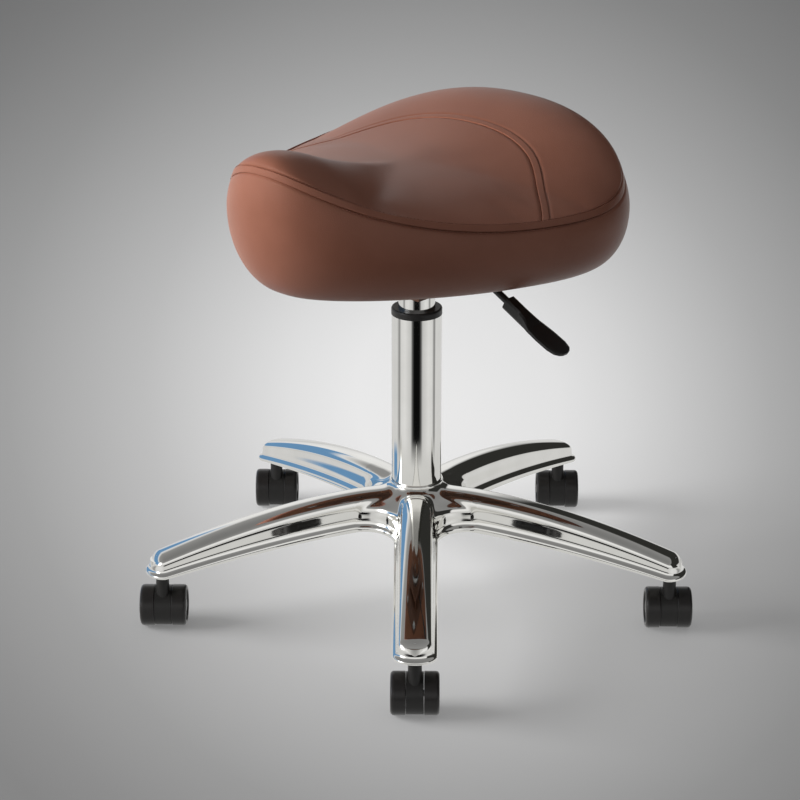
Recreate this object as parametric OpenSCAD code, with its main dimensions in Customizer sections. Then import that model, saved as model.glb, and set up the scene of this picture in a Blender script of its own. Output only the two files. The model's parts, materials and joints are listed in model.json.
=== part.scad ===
// Rolling salon stool with a saddle seat, a lift column and a five arm base on casters.
// The nose of the seat points along -Y and the floor is at z = 0 under the column.

/* [Casters] */
// Diameter of a caster wheel
wheel_d = 41.6; // [36:0.1:52]
// Width of one caster wheel
wheel_w = 14.4; // [12:0.2:18]
// Width of the caster hood between its two wheels
hood_w = 16.6; // [15:0.1:20]
// Height of the hood's flat underside above the floor
hood_floor_gap = 6; // [4:0.5:9]
// Distance that the axle trails behind the stem
caster_trail = 7.5; // [7:0.5:12]
// Diameter of the caster axle
axle_d = 6; // [5:0.5:7]
// Diameter of the round neck on top of the hood
neck_d = 13; // [11:0.5:16]
// Height of the neck above the wheels
neck_h = 15.9; // [10:0.1:20]
// Diameter of the caster stem inside the hood
stem_low_d = 8; // [6:0.5:9]
// Diameter of the caster stem inside the base
stem_d = 11; // [10:0.5:12]
// Length of the stem inside the base
stem_len = 20; // [16:1:22]

/* [Base] */
// Radius of the circle through the caster stems
caster_circle_r = 265.5; // [240:0.5:300]
// Height of the top of the hub above the floor
hub_top_z = 129.5; // [124:0.5:140]
// Height of the arms at the hub
arm_root_h = 42.5; // [38:0.5:48]
// Height of the arms at the tips
arm_tip_h = 20.8; // [18:0.1:28]
// Drop from the top of the hub to the arms' ridges
arm_drop_h = 6.5; // [5:0.5:9]
// Width of an arm over its lower lips
arm_w = 42; // [38:0.5:48]
// Radius of the web between two arms, seen from above
web_r = 30; // [24:1:36]
// Outer radius of the hub's top ring
hub_ring_r = 27.6; // [27:0.1:30]
// Wall between an underside pocket and the top of the arm
casting_wall = 4.5; // [3.5:0.5:6]
// Turn of the base about the column, as it stands
base_turn = 42.6; // [0:0.1:71]

/* [Column] */
// Outer diameter of the lift's outer tube
tube_d = 50; // [48:0.5:52]
// Wall of the outer tube
tube_wall = 2; // [1.5:0.1:2.5]
// Length of the outer tube above the hub
tube_exposed_h = 176.5; // [160:0.5:190]
// Height of the collar on the outer tube
collar_h = 7; // [5:0.5:10]
// Length of the guide bush inside the outer tube
bush_len = 80; // [60:1:90]
// Outer diameter of the pressure tube
inner_d = 36.5; // [34:0.5:38]
// Wall of the pressure tube
inner_wall = 1.75; // [1.5:0.05:2.5]
// Length of pressure tube that shows above the collar
lift_gap = 15; // [13:0.5:24]
// Distance that the seat can sink from where it stands
seat_drop = 11; // [6:0.5:14]
// Diameter of the piston rod
rod_d = 10; // [8:0.5:11]

/* [Seat] */
// Width of the seat across its middle
seat_w = 357.6; // [330:0.2:380]
// Length of the seat
seat_l = 385.2; // [360:0.2:410]
// Height of the seam above the underside, on average
seam_h = 95.4; // [90:0.2:105]
// Rise of the seam at the nose and the rear, and its fall at the sides
seam_wave_h = 28.9; // [22:0.1:32]
// Height of the middle of the seat above its underside
dip_h = 98.3; // [94:0.1:108]
// Inset of the underside from the widest line of the seat
under_inset = 39.8; // [34:0.2:46]
// Width of the seam channels
channel_w = 8; // [7:0.5:9]
// Depth of the seam channels
channel_depth = 3; // [2.5:0.1:3.5]
// Thickness of the plywood seat board
board_t = 12; // [9:1:15]

/* [Seat plate and lever] */
// Width of the seat plate, across the seat
plate_w = 150; // [140:1:170]
// Thickness of the seat plate
plate_t = 3; // [2.5:0.5:4]
// Spacing of the seat bolts across the seat
bolt_gap_x = 120; // [112:1:128]
// Diameter of the seat bolts
bolt_d = 8; // [6:1:8]
// Diameter of the lever rod
lever_d = 7; // [6:0.5:8]
// Distance of the lever's pivot from the column axis
pivot_x = 34; // [33:0.5:36]
// Distance of the lever's bend from the column axis
bend_x = 93.5; // [80:0.5:98]
// Droop of the lever beyond its bend
lever_droop = 28; // [10:1:30]
// Length of the lever's grip
grip_len = 80; // [75:1:95]
// Width of the grip's paddle
grip_w = 26; // [22:1:30]

/* [Hidden] */
$fn = 64;

// Colours as they are on the real stool
chrome_colour = "#c9cdd2";
steel_colour = "#9aa0a6";
black_colour = "#2b2a29";
leather_colour = "#7a4a3b";
seam_colour = "#4a2d26";
wood_colour = "#c7a778";
brass_colour = "#b59a58";

// Clearances, and the overrun of a cutting shape past the face that it cuts
running = 0.05;
side_play = 0.3;
seat_play = 0.3;
hole_play = 0.5;
overrun = 1;

// Base values that follow from the sizes above
arm_count = 5;
arm_step = 360 / arm_count;
half_step = arm_step / 2;
quarter_turn = 90;
first_arm = base_turn - quarter_turn;
hood_top_z = wheel_d;
neck_top_z = hood_top_z + neck_h;
flange_t = 1.6;
flange_gap = 0.4;
flange_lip = 2.2;
flange_r = stem_d / 2 + flange_lip;
flange_z = neck_top_z + flange_gap;
boss_z = flange_z + flange_t;
boss_wall = 6;
boss_r = stem_d / 2 + boss_wall;
stem_end_h = 4;
boss_h = stem_len - stem_end_h;
boss_show_h = 2;
grip_swell = 0.25;
grip_depth = 0.9;
grip_proud = 0.2;
grip_low_share = 0.55;
grip_h_share = 0.18;
tip_low_z = boss_z + boss_show_h;
tip_top_z = tip_low_z + arm_tip_h;
root_low_z = hub_top_z - arm_root_h;
root_spread = 1;
root_half_w = arm_w / 2 + root_spread;
tip_half_w = arm_w / 2;
tip_len = 16;
web_middle_x = (root_half_w + web_r) / sin(half_step);
web_start_x = (root_half_w + web_r) / tan(half_step);
web_corner_r = web_middle_x - web_r;
hub_sleeve_h = 15;
hub_low_z = root_low_z - hub_sleeve_h;
hub_sleeve_wall = 4;
hub_sleeve_r = tube_d / 2 + hub_sleeve_wall;
bell_inset = 1;
bell_r = web_corner_r - bell_inset;
bell_foot_h = 5;
bell_foot_z = root_low_z + bell_foot_h;
bell_lap = 1;
bell_base_z = root_low_z + bell_lap;
web_step = 1;
ring_bead_h = 2.2;
ring_bead_step = 1;
ring_bead_r = hub_ring_r - ring_bead_step;
wedge_overlap = 0.2;
// Powers of the curves of the arm's ridge and of its lower edge
ridge_power = 1.75;
low_power = 1.5;
ridge_start_x = bell_r * 0.87;
ridge_top_z = hub_top_z - arm_drop_h;
low_start_x = bell_r;

// Column values
taper_share = 0.0251;
tube_foot_h = 4;
tube_low_z = hub_low_z - tube_foot_h;
tube_top_z = hub_top_z + tube_exposed_h;
tube_r = tube_d / 2;
tube_taper_h = hub_top_z - tube_low_z;
tube_foot_r = tube_r - tube_taper_h * taper_share;
end_plate_t = 3;
bush_low_z = tube_top_z - bush_len;
collar_top_z = tube_top_z + collar_h;
collar_lip = 0.3;
collar_r = tube_r + collar_lip;
collar_round = 1.6;
inner_r = inner_d / 2;
bore_r = inner_r - inner_wall;
rod_r = rod_d / 2;
socket_low_z = collar_top_z + lift_gap;
socket_h = 26;
socket_wall = 4.7;
socket_end_gap = 1;
inner_top_z = socket_low_z + socket_h - socket_end_gap;
inner_top_r = inner_r - (inner_top_z - socket_low_z) * taper_share;
washer_t = 2;
washer_band = 9;
washer_r = rod_r + washer_band;
ball_r = 2.35;
ball_count = 8;
ball_band = 4.7;
ball_circle_r = rod_r + ball_band;
race_gap = 2 * ball_r + 2 * running;
cage_t = 1.6;
cage_inset = 1;
low_washer_z = tube_low_z + end_plate_t;
ball_z = low_washer_z + washer_t + running + ball_r;
top_washer_z = low_washer_z + washer_t + race_gap;
shoulder_z = top_washer_z + washer_t;
shoulder_step = 3.5;
shoulder_r = rod_r + shoulder_step;
shoulder_h = 4;
stop_h = 12;
stop_band = 10;
stop_r = rod_r + stop_band;
stop_taper = 2;
stop_gap = 5.2;
inner_low_z = shoulder_z + stop_h + stop_gap + seat_drop;
rod_tail_h = 6;
rod_low_z = tube_low_z - rod_tail_h;
piston_depth = 48;
piston_low_z = tube_top_z - piston_depth;
piston_h = 12;
ring_h = 4;
ring_depth = 2.4;
rod_end_h = 2;
rod_top_z = piston_low_z + piston_h + rod_end_h;
clip_t = 1.2;
clip_band = 3.5;
clip_r = rod_r + clip_band;
clip_groove_depth = 0.7;
clip_groove_r = rod_r - clip_groove_depth;
clip_z = tube_low_z - side_play - clip_t;
clip_slot = 6;
gland_h = 20;
seal_h = 6;
valve_h = 33;
valve_drop = 2;
valve_top_z = inner_top_z - valve_drop;
pin_r = 4;
pin_len = 16.7;
pin_show_h = 5.7;
pin_top_z = valve_top_z + pin_show_h;
pin_chamfer = 1;
pin_room = 21;

// Seat plate and lever values
socket_r = inner_r + socket_wall;
box_rise = 11;
box_low_z = socket_low_z + box_rise;
box_gap = 1;
ear_half_w = 6;
box_half_w = pivot_x + ear_half_w + box_gap + plate_t;
box_half_l = 45;
plate_rise = 11;
plate_low_z = socket_low_z + socket_h + plate_rise;
plate_top_z = plate_low_z + plate_t;
plate_corner_r = 15;
plate_l_share = 0.4933;
plate_l = seat_l * plate_l_share;
bolt_end_gap = 15;
bolt_gap_y = plate_l - 2 * bolt_end_gap;
cover_t = 1;
seat_low_z = plate_top_z + cover_t;
pad_t = 3;
pad_low_z = pin_top_z + seat_play;
pad_overhang = 1;
pivot_z = pad_low_z + pad_t / 2;
pivot_r = 2.5;
boss_half_w = 5.5;
pivot_boss_r = 5.8;
ear_t = 3;
ear_low = 5.5;
lever_r = lever_d / 2;
lever_room = 1.5;
bend_r = 15;
bend_run = bend_r * tan(lever_droop / 2);
bend_swell = 0.1;
bend_lap = 0.5;
grip_start = 28;
sleeve_len = 28;
rod_run = grip_start + sleeve_len;
sleeve_side = 12;
paddle_t = 4.6;
paddle_rise = 3;
bolt_head_h = 5.3;
bolt_head_r = bolt_d * 0.81;
bolt_washer_t = 1.6;
bolt_washer_r = bolt_d;
nut_wall = 1.3;
nut_barrel_r = bolt_d / 2 + nut_wall;
nut_flange_r = bolt_d * 1.19;
nut_flange_t = 1.2;
board_border = 12;
board_inset = under_inset + board_border;
cover_border = 3;
cover_inset = under_inset + cover_border;
pocket_h = board_t + nut_flange_t + seat_play;
cover_hole_r = nut_barrel_r + hole_play;

// Seat values, with the waves of the seam and of the edge roll as heights
seat_shift = -21.5;
rim_power = 2.24;
nose_taper_share = 0.377;
seam_skew_h = 2.2;
seam_peak_h = 2.7;
bulge_share = 0.684;
seam_inset = 6.6;
lip_h = 6.5;
lip_wave_h = 15.5;
lip_skew_h = -9;
lip_least_h = 1;
roll_share = 0.683;
crown_power_share = 1.8;
crown_wave_share = -0.24;
arch_rear_share = 0.546;
arch_end = 89;
arch_power = 7;
arch_round_share = 0.333;
arch_limit_share = 0.955;
front_ring_share = 0.76;
front_turn = 45;
front_spread_share = 0.05;
welt_w = 4.6;
welt_proud = 0.7;
seat_stations = 48;
seat_step = 360 / seat_stations;
under_share = [1, 0.93, 0.72, 0.42];
rear_ring_share = [0.82, 0.6, 0.38, 0.17];
inner_ring_share = [0.82, 0.62, 0.4, 0.18];
welt_w_share = [-0.5, -0.5, -0.26, 0.26, 0.5, 0.5];

// Half of the arm's cross-section, from ridge to lip, as shares of half width and height. The dome
// ends and the lip begins at the first share.
dome_share = 0.85;
arm_half_share = [[0.3, 0.985], [0.52, 0.93], [0.68, 0.83], [0.755, 0.66], [0.8, 0.36],
    [0.86, 0.23], [0.96, 0.16], [1, 0.09], [0.98, 0]];
// Hub from its foot, up its wall and over its shoulder to the ring, as shares of its width and height
bell_share = [[1, 0], [0.93, 0.12], [0.91, 0.32], [0.88, 0.5], [0.8, 0.6], [0.63, 0.66], [0.42, 0.71],
    [0.22, 0.79], [0.08, 0.9], [0, 1]];
pocket_share = [[-0.62, 0], [-0.56, 0.5], [-0.26, 0.97], [0.26, 0.97], [0.56, 0.5], [0.62, 0]];
arm_station_share = [0.04, 0.16, 0.25, 0.34, 0.45, 0.57, 0.69, 0.8, 0.9, 0.97];
tip_turns = [0, 22, 42, 58, 72, 84];
pocket_ends_share = [[0.29, 0.5], [0.52, 0.72], [0.74, 0.885]];

// Shapes that several pieces share

// Closed solid through rings of points, with a fan to a pole at each end
module skin(rings, poles) {
    count = len(rings[0]);
    last = len(rings) - 1;
    ring_points = [for (ring = rings) each ring];
    pole_at = len(ring_points);
    walls = [for (i = [0 : last - 1], j = [0 : count - 1])
        let (a = i * count + j, b = i * count + (j + 1) % count)
        each [[a, b, a + count], [b, b + count, a + count]]];
    ends = [for (j = [0 : count - 1]) each [
        [(j + 1) % count, j, pole_at],
        [last * count + j, last * count + (j + 1) % count, pole_at + 1]]];
    polyhedron(points = concat(ring_points, poles), faces = concat(walls, ends), convexity = 8);
}

// Solid of revolution about Z from a list of radius and height pairs
module turned(outline) {
    rotate_extrude() polygon(outline);
}

module ring(outer_r, hole_r, h) {
    difference() {
        cylinder(r = outer_r, h = h);
        translate([0, 0, -overrun]) cylinder(r = hole_r, h = h + 2 * overrun);
    }
}

module at_arms() {
    for (i = [0 : arm_count - 1]) rotate([0, 0, first_arm + i * arm_step]) children();
}

module at_stems() {
    at_arms() translate([caster_circle_r, 0, 0]) children();
}

module at_bolts() {
    for (sx = [-1, 1], sy = [-1, 1]) translate([sx * bolt_gap_x / 2, sy * bolt_gap_y / 2, 0]) children();
}

// Base casting

function run_share(x, start) = max(x - start, 0) / (caster_circle_r - start);
function ridge_z(x) = ridge_top_z
    - (ridge_top_z - tip_top_z) * pow(run_share(x, ridge_start_x), ridge_power);
function low_z(x) = root_low_z
    - (root_low_z - tip_low_z) * pow(run_share(x, low_start_x), low_power);
function arm_half_w(x) = x < web_corner_r * cos(half_step)
    ? x * tan(half_step) + wedge_overlap
    : x < web_start_x
        ? root_half_w + web_r - sqrt(pow(web_r, 2) - pow(x - web_start_x, 2))
        : root_half_w + (tip_half_w - root_half_w) * (x - web_start_x) / (caster_circle_r - web_start_x);
// The dome of the arm keeps its width where the lip spreads into the web
function dome_half_w(x) = min(arm_half_w(x), root_half_w);
function arm_point(x, share, half_w, dome_w, low, high) = [
    x,
    share[0] < dome_share
        ? share[0] * dome_w
        : dome_w * dome_share
            + (half_w - dome_w * dome_share) * (share[0] - dome_share) / (1 - dome_share),
    low + (high - low) * share[1]];
function arm_ring(x, half_w, dome_w, low, high) = concat(
    [for (i = [len(arm_half_share) - 1 : -1 : 0])
        let (p = arm_point(x, arm_half_share[i], half_w, dome_w, low, high)) [p[0], -p[1], p[2]]],
    [[x, 0, high]],
    [for (share = arm_half_share) arm_point(x, share, half_w, dome_w, low, high)]);

module arm() {
    run_rings = [for (share = arm_station_share)
        let (x = share * caster_circle_r)
        arm_ring(x, arm_half_w(x), dome_half_w(x), low_z(x), ridge_z(x))];
    tip_rings = [for (turn = tip_turns)
        let (x = caster_circle_r + tip_len * sin(turn), half_w = tip_half_w * cos(turn * 0.97))
        arm_ring(x, half_w, half_w, tip_low_z, tip_low_z + arm_tip_h * pow(cos(turn * 0.93), 0.7))];
    first_x = run_rings[0][0][0];
    last_x = tip_rings[len(tip_turns) - 1][0][0];
    skin(concat(run_rings, tip_rings),
        [[first_x, 0, (low_z(first_x) + ridge_z(first_x)) / 2], [last_x, 0, tip_low_z + arm_tip_h * 0.05]]);
}

module pocket(ends) {
    skin([for (end = ends)
        let (x = end * caster_circle_r, low = low_z(x) - overrun, high = ridge_z(x) - casting_wall)
        [for (share = pocket_share) [x, share[0] * dome_half_w(x), low + (high - low) * share[1]]]],
        [for (end = ends) let (x = end * caster_circle_r) [x, 0, (low_z(x) + ridge_z(x)) / 2]]);
}

module web_plate() {
    web_turn = 90 - half_step;
    corner_points = [for (turn = [-web_turn : web_turn / 4 : web_turn])
        [web_middle_x - web_r * cos(turn), web_r * sin(turn)]];
    plate_points = [for (i = [0 : arm_count - 1]) each
        [for (p = corner_points) let (a = first_arm + half_step + i * arm_step)
            [p[0] * cos(a) - p[1] * sin(a), p[0] * sin(a) + p[1] * cos(a)]]];
    translate([0, 0, root_low_z - web_step])
        linear_extrude(web_step + arm_root_h * 0.13) polygon(plate_points);
}

module hub() {
    bell_h = hub_top_z - ring_bead_h - bell_foot_z;
    bell = [for (share = bell_share)
        [ring_bead_r + (bell_r - ring_bead_r) * share[0], bell_foot_z + bell_h * share[1]]];
    turned(concat(
        [[0, hub_low_z], [hub_sleeve_r, hub_low_z], [hub_sleeve_r, bell_base_z], [bell_r, bell_base_z]],
        bell,
        [[hub_ring_r, hub_top_z - ring_bead_h], [hub_ring_r, hub_top_z - ring_bead_h * 0.3],
            [hub_ring_r - ring_bead_h * 0.4, hub_top_z], [0, hub_top_z]]));
}

module arm_casting() {
    difference() {
        union() {
            arm();
            translate([caster_circle_r, 0, boss_z]) cylinder(r = boss_r, h = boss_h);
        }
        for (ends = pocket_ends_share) pocket(ends);
        translate([caster_circle_r, 0, boss_z - overrun])
            cylinder(r = stem_d / 2 + grip_swell, h = stem_len + overrun + flange_gap);
    }
}

module star_base() {
    color(chrome_colour) difference() {
        union() {
            hub();
            web_plate();
            at_arms() arm_casting();
        }
        translate([0, 0, tube_low_z])
            cylinder(r1 = tube_foot_r + running, r2 = tube_r + running, h = tube_taper_h);
        translate([0, 0, hub_top_z - overrun]) cylinder(r = tube_r + running, h = 2 * overrun);
    }
}

// Column

module column_tube() {
    foot_in_r = tube_foot_r - tube_wall;
    color(chrome_colour) turned([
        [rod_r + running, tube_low_z], [tube_foot_r, tube_low_z], [tube_r, hub_top_z],
        [tube_r, tube_top_z], [tube_r - tube_wall, tube_top_z], [tube_r - tube_wall, hub_top_z],
        [foot_in_r, tube_low_z + end_plate_t], [rod_r + running, tube_low_z + end_plate_t]]);
}

module guide_bush() {
    sleeve_r = tube_r - tube_wall - running;
    color(black_colour) turned([
        [inner_r + running, bush_low_z], [sleeve_r, bush_low_z], [sleeve_r, tube_top_z],
        [collar_r, tube_top_z], [collar_r, collar_top_z - collar_round],
        [collar_r - collar_round * 0.3, collar_top_z - collar_round * 0.3],
        [collar_r - collar_round, collar_top_z], [inner_r + running, collar_top_z]]);
}

module thrust_washer_low() {
    color(steel_colour) translate([0, 0, low_washer_z]) ring(washer_r, rod_r + hole_play, washer_t);
}

module thrust_washer_top() {
    color(steel_colour) translate([0, 0, top_washer_z]) ring(washer_r, rod_r + running, washer_t);
}

module at_balls() {
    for (i = [0 : ball_count - 1]) rotate([0, 0, i * 360 / ball_count])
        translate([ball_circle_r, 0, ball_z]) children();
}

module thrust_balls() {
    color(steel_colour) at_balls() sphere(r = ball_r);
}

module ball_cage() {
    color(brass_colour) difference() {
        translate([0, 0, ball_z - cage_t / 2]) ring(washer_r - cage_inset, rod_r + hole_play, cage_t);
        at_balls() translate([0, 0, -cage_t]) cylinder(r = ball_r + 2 * running, h = 2 * cage_t);
    }
}

module bump_stop() {
    color(black_colour) translate([0, 0, shoulder_z]) difference() {
        cylinder(r1 = stop_r, r2 = stop_r - stop_taper, h = stop_h);
        translate([0, 0, -overrun]) cylinder(r = shoulder_r + running, h = stop_h + 2 * overrun);
    }
}

module piston_rod() {
    color(steel_colour) difference() {
        union() {
            translate([0, 0, rod_low_z]) cylinder(r = rod_r, h = rod_top_z - rod_low_z);
            translate([0, 0, shoulder_z]) cylinder(r = shoulder_r, h = shoulder_h);
        }
        translate([0, 0, clip_z]) ring(rod_r + overrun, clip_groove_r, clip_t);
    }
}

module piston() {
    color(brass_colour) translate([0, 0, piston_low_z]) difference() {
        ring(bore_r - running, rod_r, piston_h);
        translate([0, 0, (piston_h - ring_h) / 2]) ring(bore_r + overrun, bore_r - ring_depth, ring_h);
    }
}

module piston_ring() {
    color(black_colour) translate([0, 0, piston_low_z + (piston_h - ring_h) / 2])
        ring(bore_r - running, bore_r - ring_depth, ring_h);
}

module rod_clip() {
    color(steel_colour) translate([0, 0, clip_z]) difference() {
        ring(clip_r, clip_groove_r, clip_t);
        translate([clip_r / 2, 0, clip_t / 2]) cube([clip_r, clip_slot, clip_t + overrun], center = true);
    }
}

module pressure_tube() {
    color(chrome_colour) turned([
        [bore_r, inner_low_z], [inner_r, inner_low_z], [inner_r, socket_low_z],
        [inner_top_r, inner_top_z], [bore_r, inner_top_z]]);
}

module tube_gland() {
    color(brass_colour) translate([0, 0, inner_low_z]) ring(bore_r, rod_r + running, gland_h);
}

module rod_seal() {
    color(black_colour) translate([0, 0, inner_low_z + gland_h]) ring(bore_r, rod_r + running, seal_h);
}

module valve_body() {
    color(brass_colour) translate([0, 0, valve_top_z - valve_h]) difference() {
        cylinder(r = bore_r, h = valve_h);
        translate([0, 0, valve_h - pin_room]) cylinder(r = pin_r + running, h = pin_room + overrun);
    }
}

module release_pin() {
    color(steel_colour) translate([0, 0, pin_top_z - pin_len]) {
        cylinder(r = pin_r, h = pin_len - pin_chamfer);
        translate([0, 0, pin_len - pin_chamfer]) cylinder(r1 = pin_r, r2 = pin_r - pin_chamfer, h = pin_chamfer);
    }
}

// Seat plate and lever

module lift_socket() {
    color(steel_colour) turned([
        [inner_r + running, socket_low_z], [socket_r, socket_low_z], [socket_r, socket_low_z + socket_h],
        [inner_top_r + running, socket_low_z + socket_h], [inner_top_r + running, inner_top_z]]);
}

module rounded_plate(w, l, t, r) {
    linear_extrude(t) union() {
        square([w - 2 * r, l], center = true);
        square([w, l - 2 * r], center = true);
        for (sx = [-1, 1], sy = [-1, 1]) translate([sx * (w / 2 - r), sy * (l / 2 - r)]) circle(r = r);
    }
}

module seat_plate() {
    wall_h = plate_low_z - box_low_z;
    color(steel_colour) difference() {
        union() {
            translate([0, 0, plate_low_z]) rounded_plate(plate_w, plate_l, plate_t, plate_corner_r);
            for (side = [-1, 1]) translate([side * (box_half_w - plate_t / 2), 0, box_low_z + wall_h / 2])
                cube([plate_t, 2 * box_half_l, wall_h], center = true);
            translate([0, 0, box_low_z + plate_t / 2])
                cube([2 * box_half_w, 2 * box_half_l, plate_t], center = true);
            for (side = [-1, 1])
                translate([pivot_x - ear_half_w, side * (ear_half_w + ear_t / 2) - ear_t / 2, pivot_z - ear_low])
                cube([2 * ear_half_w, ear_t, plate_low_z - pivot_z + ear_low]);
        }
        translate([0, 0, box_low_z - overrun]) cylinder(r = socket_r, h = plate_t + 2 * overrun);
        at_bolts() translate([0, 0, plate_low_z - overrun])
            cylinder(r = bolt_d / 2 + hole_play, h = plate_t + 2 * overrun);
        translate([pivot_x, 0, pivot_z]) rotate([90, 0, 0])
            cylinder(r = pivot_r, h = 4 * ear_half_w, center = true);
        translate([box_half_w - plate_t - overrun, 0, pivot_z]) rotate([0, 90, 0])
            cylinder(r = lever_r + lever_room, h = plate_t + 2 * overrun);
    }
}

module lever_pin() {
    color(steel_colour) translate([pivot_x, 0, pivot_z]) rotate([90, 0, 0])
        cylinder(r = pivot_r, h = 2 * (ear_half_w + ear_t), center = true);
}

module lever_rod() {
    pad_end_x = -pin_r - pad_overhang;
    color(black_colour) difference() {
        union() {
            translate([pad_end_x, -boss_half_w, pad_low_z]) cube([pivot_x - pad_end_x, 2 * boss_half_w, pad_t]);
            translate([pivot_x, 0, pivot_z]) rotate([90, 0, 0])
                cylinder(r = pivot_boss_r, h = 2 * boss_half_w, center = true);
            translate([pivot_x, 0, pivot_z]) rotate([0, 90, 0])
                cylinder(r = lever_r, h = bend_x - bend_run - pivot_x + bend_lap);
            translate([bend_x - bend_run, 0, pivot_z - bend_r]) rotate([90, 0, 0])
                rotate([0, 0, 90 - lever_droop]) rotate_extrude(angle = lever_droop)
                translate([bend_r, 0]) circle(r = lever_r + bend_swell);
            past_bend() translate([0, 0, -bend_lap]) cylinder(r = lever_r, h = rod_run - bend_run + bend_lap);
        }
        translate([pivot_x, 0, pivot_z]) rotate([90, 0, 0])
            cylinder(r = pivot_r + running, h = 4 * boss_half_w, center = true);
    }
}

// Places a child at the end of the bend, with Z along the drooping rod
module past_bend() {
    translate([bend_x + bend_run * cos(lever_droop), 0, pivot_z - bend_run * sin(lever_droop)])
        rotate([0, 90 + lever_droop, 0]) children();
}

module lever_grip() {
    paddle_len = grip_len - sleeve_len;
    // Length, half width, half thickness and rise of each station of the grip
    stations = [
        [0, sleeve_side / 2, sleeve_side / 2, 0],
        [sleeve_len * 0.7, sleeve_side / 2, sleeve_side / 2, 0],
        [sleeve_len, grip_w * 0.3, sleeve_side * 0.42, paddle_rise * 0.06],
        [sleeve_len + paddle_len * 0.2, grip_w * 0.44, paddle_t * 0.62, paddle_rise * 0.2],
        [sleeve_len + paddle_len * 0.45, grip_w / 2, paddle_t / 2, paddle_rise * 0.45],
        [sleeve_len + paddle_len * 0.75, grip_w / 2, paddle_t / 2, paddle_rise * 0.75],
        [sleeve_len + paddle_len * 0.9, grip_w * 0.42, paddle_t * 0.46, paddle_rise * 0.9],
        [sleeve_len + paddle_len * 0.97, grip_w * 0.28, paddle_t * 0.4, paddle_rise * 0.97],
        [grip_len, grip_w * 0.12, paddle_t * 0.28, paddle_rise]];
    corner_share = [[1, 0.6], [0.8, 1], [-0.8, 1], [-1, 0.6], [-1, -0.6], [-0.8, -1], [0.8, -1], [1, -0.6]];
    color(black_colour) past_bend() translate([0, 0, grip_start - bend_run]) difference() {
        skin([for (s = stations) [for (c = corner_share) [-s[2] * c[1] - s[3], -s[1] * c[0], s[0]]]],
            [[0, 0, 0], [-paddle_rise, 0, grip_len]]);
        translate([0, 0, -overrun]) cylinder(r = lever_r, h = rod_run - grip_start + overrun + seat_play);
    }
}

// Seat

function sign_pow(v, e) = sign(v) * pow(abs(v), e);
function rim(t) = let (c = sign_pow(cos(t), 2 / rim_power), s = sign_pow(sin(t), 2 / rim_power))
    [seat_w / 2 * s * (1 + nose_taper_share * c), seat_l / 2 * c + seat_shift];
function rim_out(t) = let (d = rim(t + 0.5) - rim(t - 0.5)) [-d[1], d[0]] / norm(d);
function inset_rim(t, inset) = rim(t) - rim_out(t) * inset;
function seam_z(t) = seat_low_z + seam_h + seam_wave_h * cos(2 * t) + seam_skew_h * cos(3 * t)
    + seam_peak_h * cos(4 * t);
function bulge_z(t) = seat_low_z + bulge_share * (seam_z(t) - seat_low_z);
function lip(t) = max(lip_h + lip_wave_h * cos(2 * t) + lip_skew_h * cos(3 * t), lip_least_h);
function raised(p, z) = [p[0], p[1], z];
function under_point(t, u) = raised(inset_rim(t, under_inset * (1 - sqrt(1 - u * u))),
    bulge_z(t) - u * (bulge_z(t) - seat_low_z));
function side_point(t, u) = raised(inset_rim(t, seam_inset * u * u), bulge_z(t) + u * (seam_z(t) - bulge_z(t)));
function top_z(t, rho) = let (
        q = max((rho - roll_share) / (1 - roll_share), 0),
        power = crown_power_share + crown_wave_share * cos(2 * t),
        middle_z = seat_low_z + dip_h)
    middle_z + (seam_z(t) + lip(t) - middle_z) * pow(rho, power) - lip(t) * (1 - sqrt(1 - q * q));
function top_point(t, rho) = let (edge = inset_rim(t, seam_inset))
    [edge[0] * rho, seat_shift + (edge[1] - seat_shift) * rho, top_z(t, rho)];
function reach(t) = norm(inset_rim(t, seam_inset) - [0, seat_shift]);
// Share of the reach that half a channel takes at the seam, where the edge roll is steep
function lip_share(t) = pow(channel_w / 2, 2)
    / (2 * pow(lip(t), 2) / (1 - roll_share) + reach(t) * channel_w / 2);
function unit(v) = v / norm(v);

// Where the arch seam crosses the line from the middle of the seat to the rim
function turn_of(t) = acos(cos(t));
function arch_share(t) = let (u = min(turn_of(t) / arch_end, 1))
    arch_rear_share + (1 - arch_rear_share) * (arch_round_share * u * u + (1 - arch_round_share) * pow(u, arch_power));
function past_arch(t) = min(max(turn_of(t) - arch_end, 0) / front_turn, 1);
function arch_line(t) = min(arch_share(t), arch_limit_share)
    - (arch_limit_share - front_ring_share) * past_arch(t);
function arch_half(t) = channel_w / 2 / reach(t) + front_spread_share * past_arch(t);
function arch_fade(t) = arch_share(t) > arch_limit_share ? 0 : 1;

// The seam's place and the directions across it and out of the leather
function seam_frame(low, middle, high, along) = let (
        across = unit(high - low), out = unit(cross(across, along)))
    [middle, across, out];
function rim_frame(t) = seam_frame(side_point(t, 1 - channel_w / 2 / (seam_z(t) - bulge_z(t))),
    side_point(t, 1), top_point(t, 1 - lip_share(t)), side_point(t + 1, 1) - side_point(t - 1, 1));
function arch_frame(t) = seam_frame(top_point(t, arch_line(t) + arch_half(t)),
    top_point(t, arch_line(t)), top_point(t, arch_line(t) - arch_half(t)),
    top_point(t + 1, arch_line(t + 1)) - top_point(t - 1, arch_line(t - 1)));
function seam_offset(f, across, out) = f[0] + f[1] * across + f[2] * out;

station_turns = [for (i = [0 : seat_stations - 1]) i * seat_step];

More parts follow.
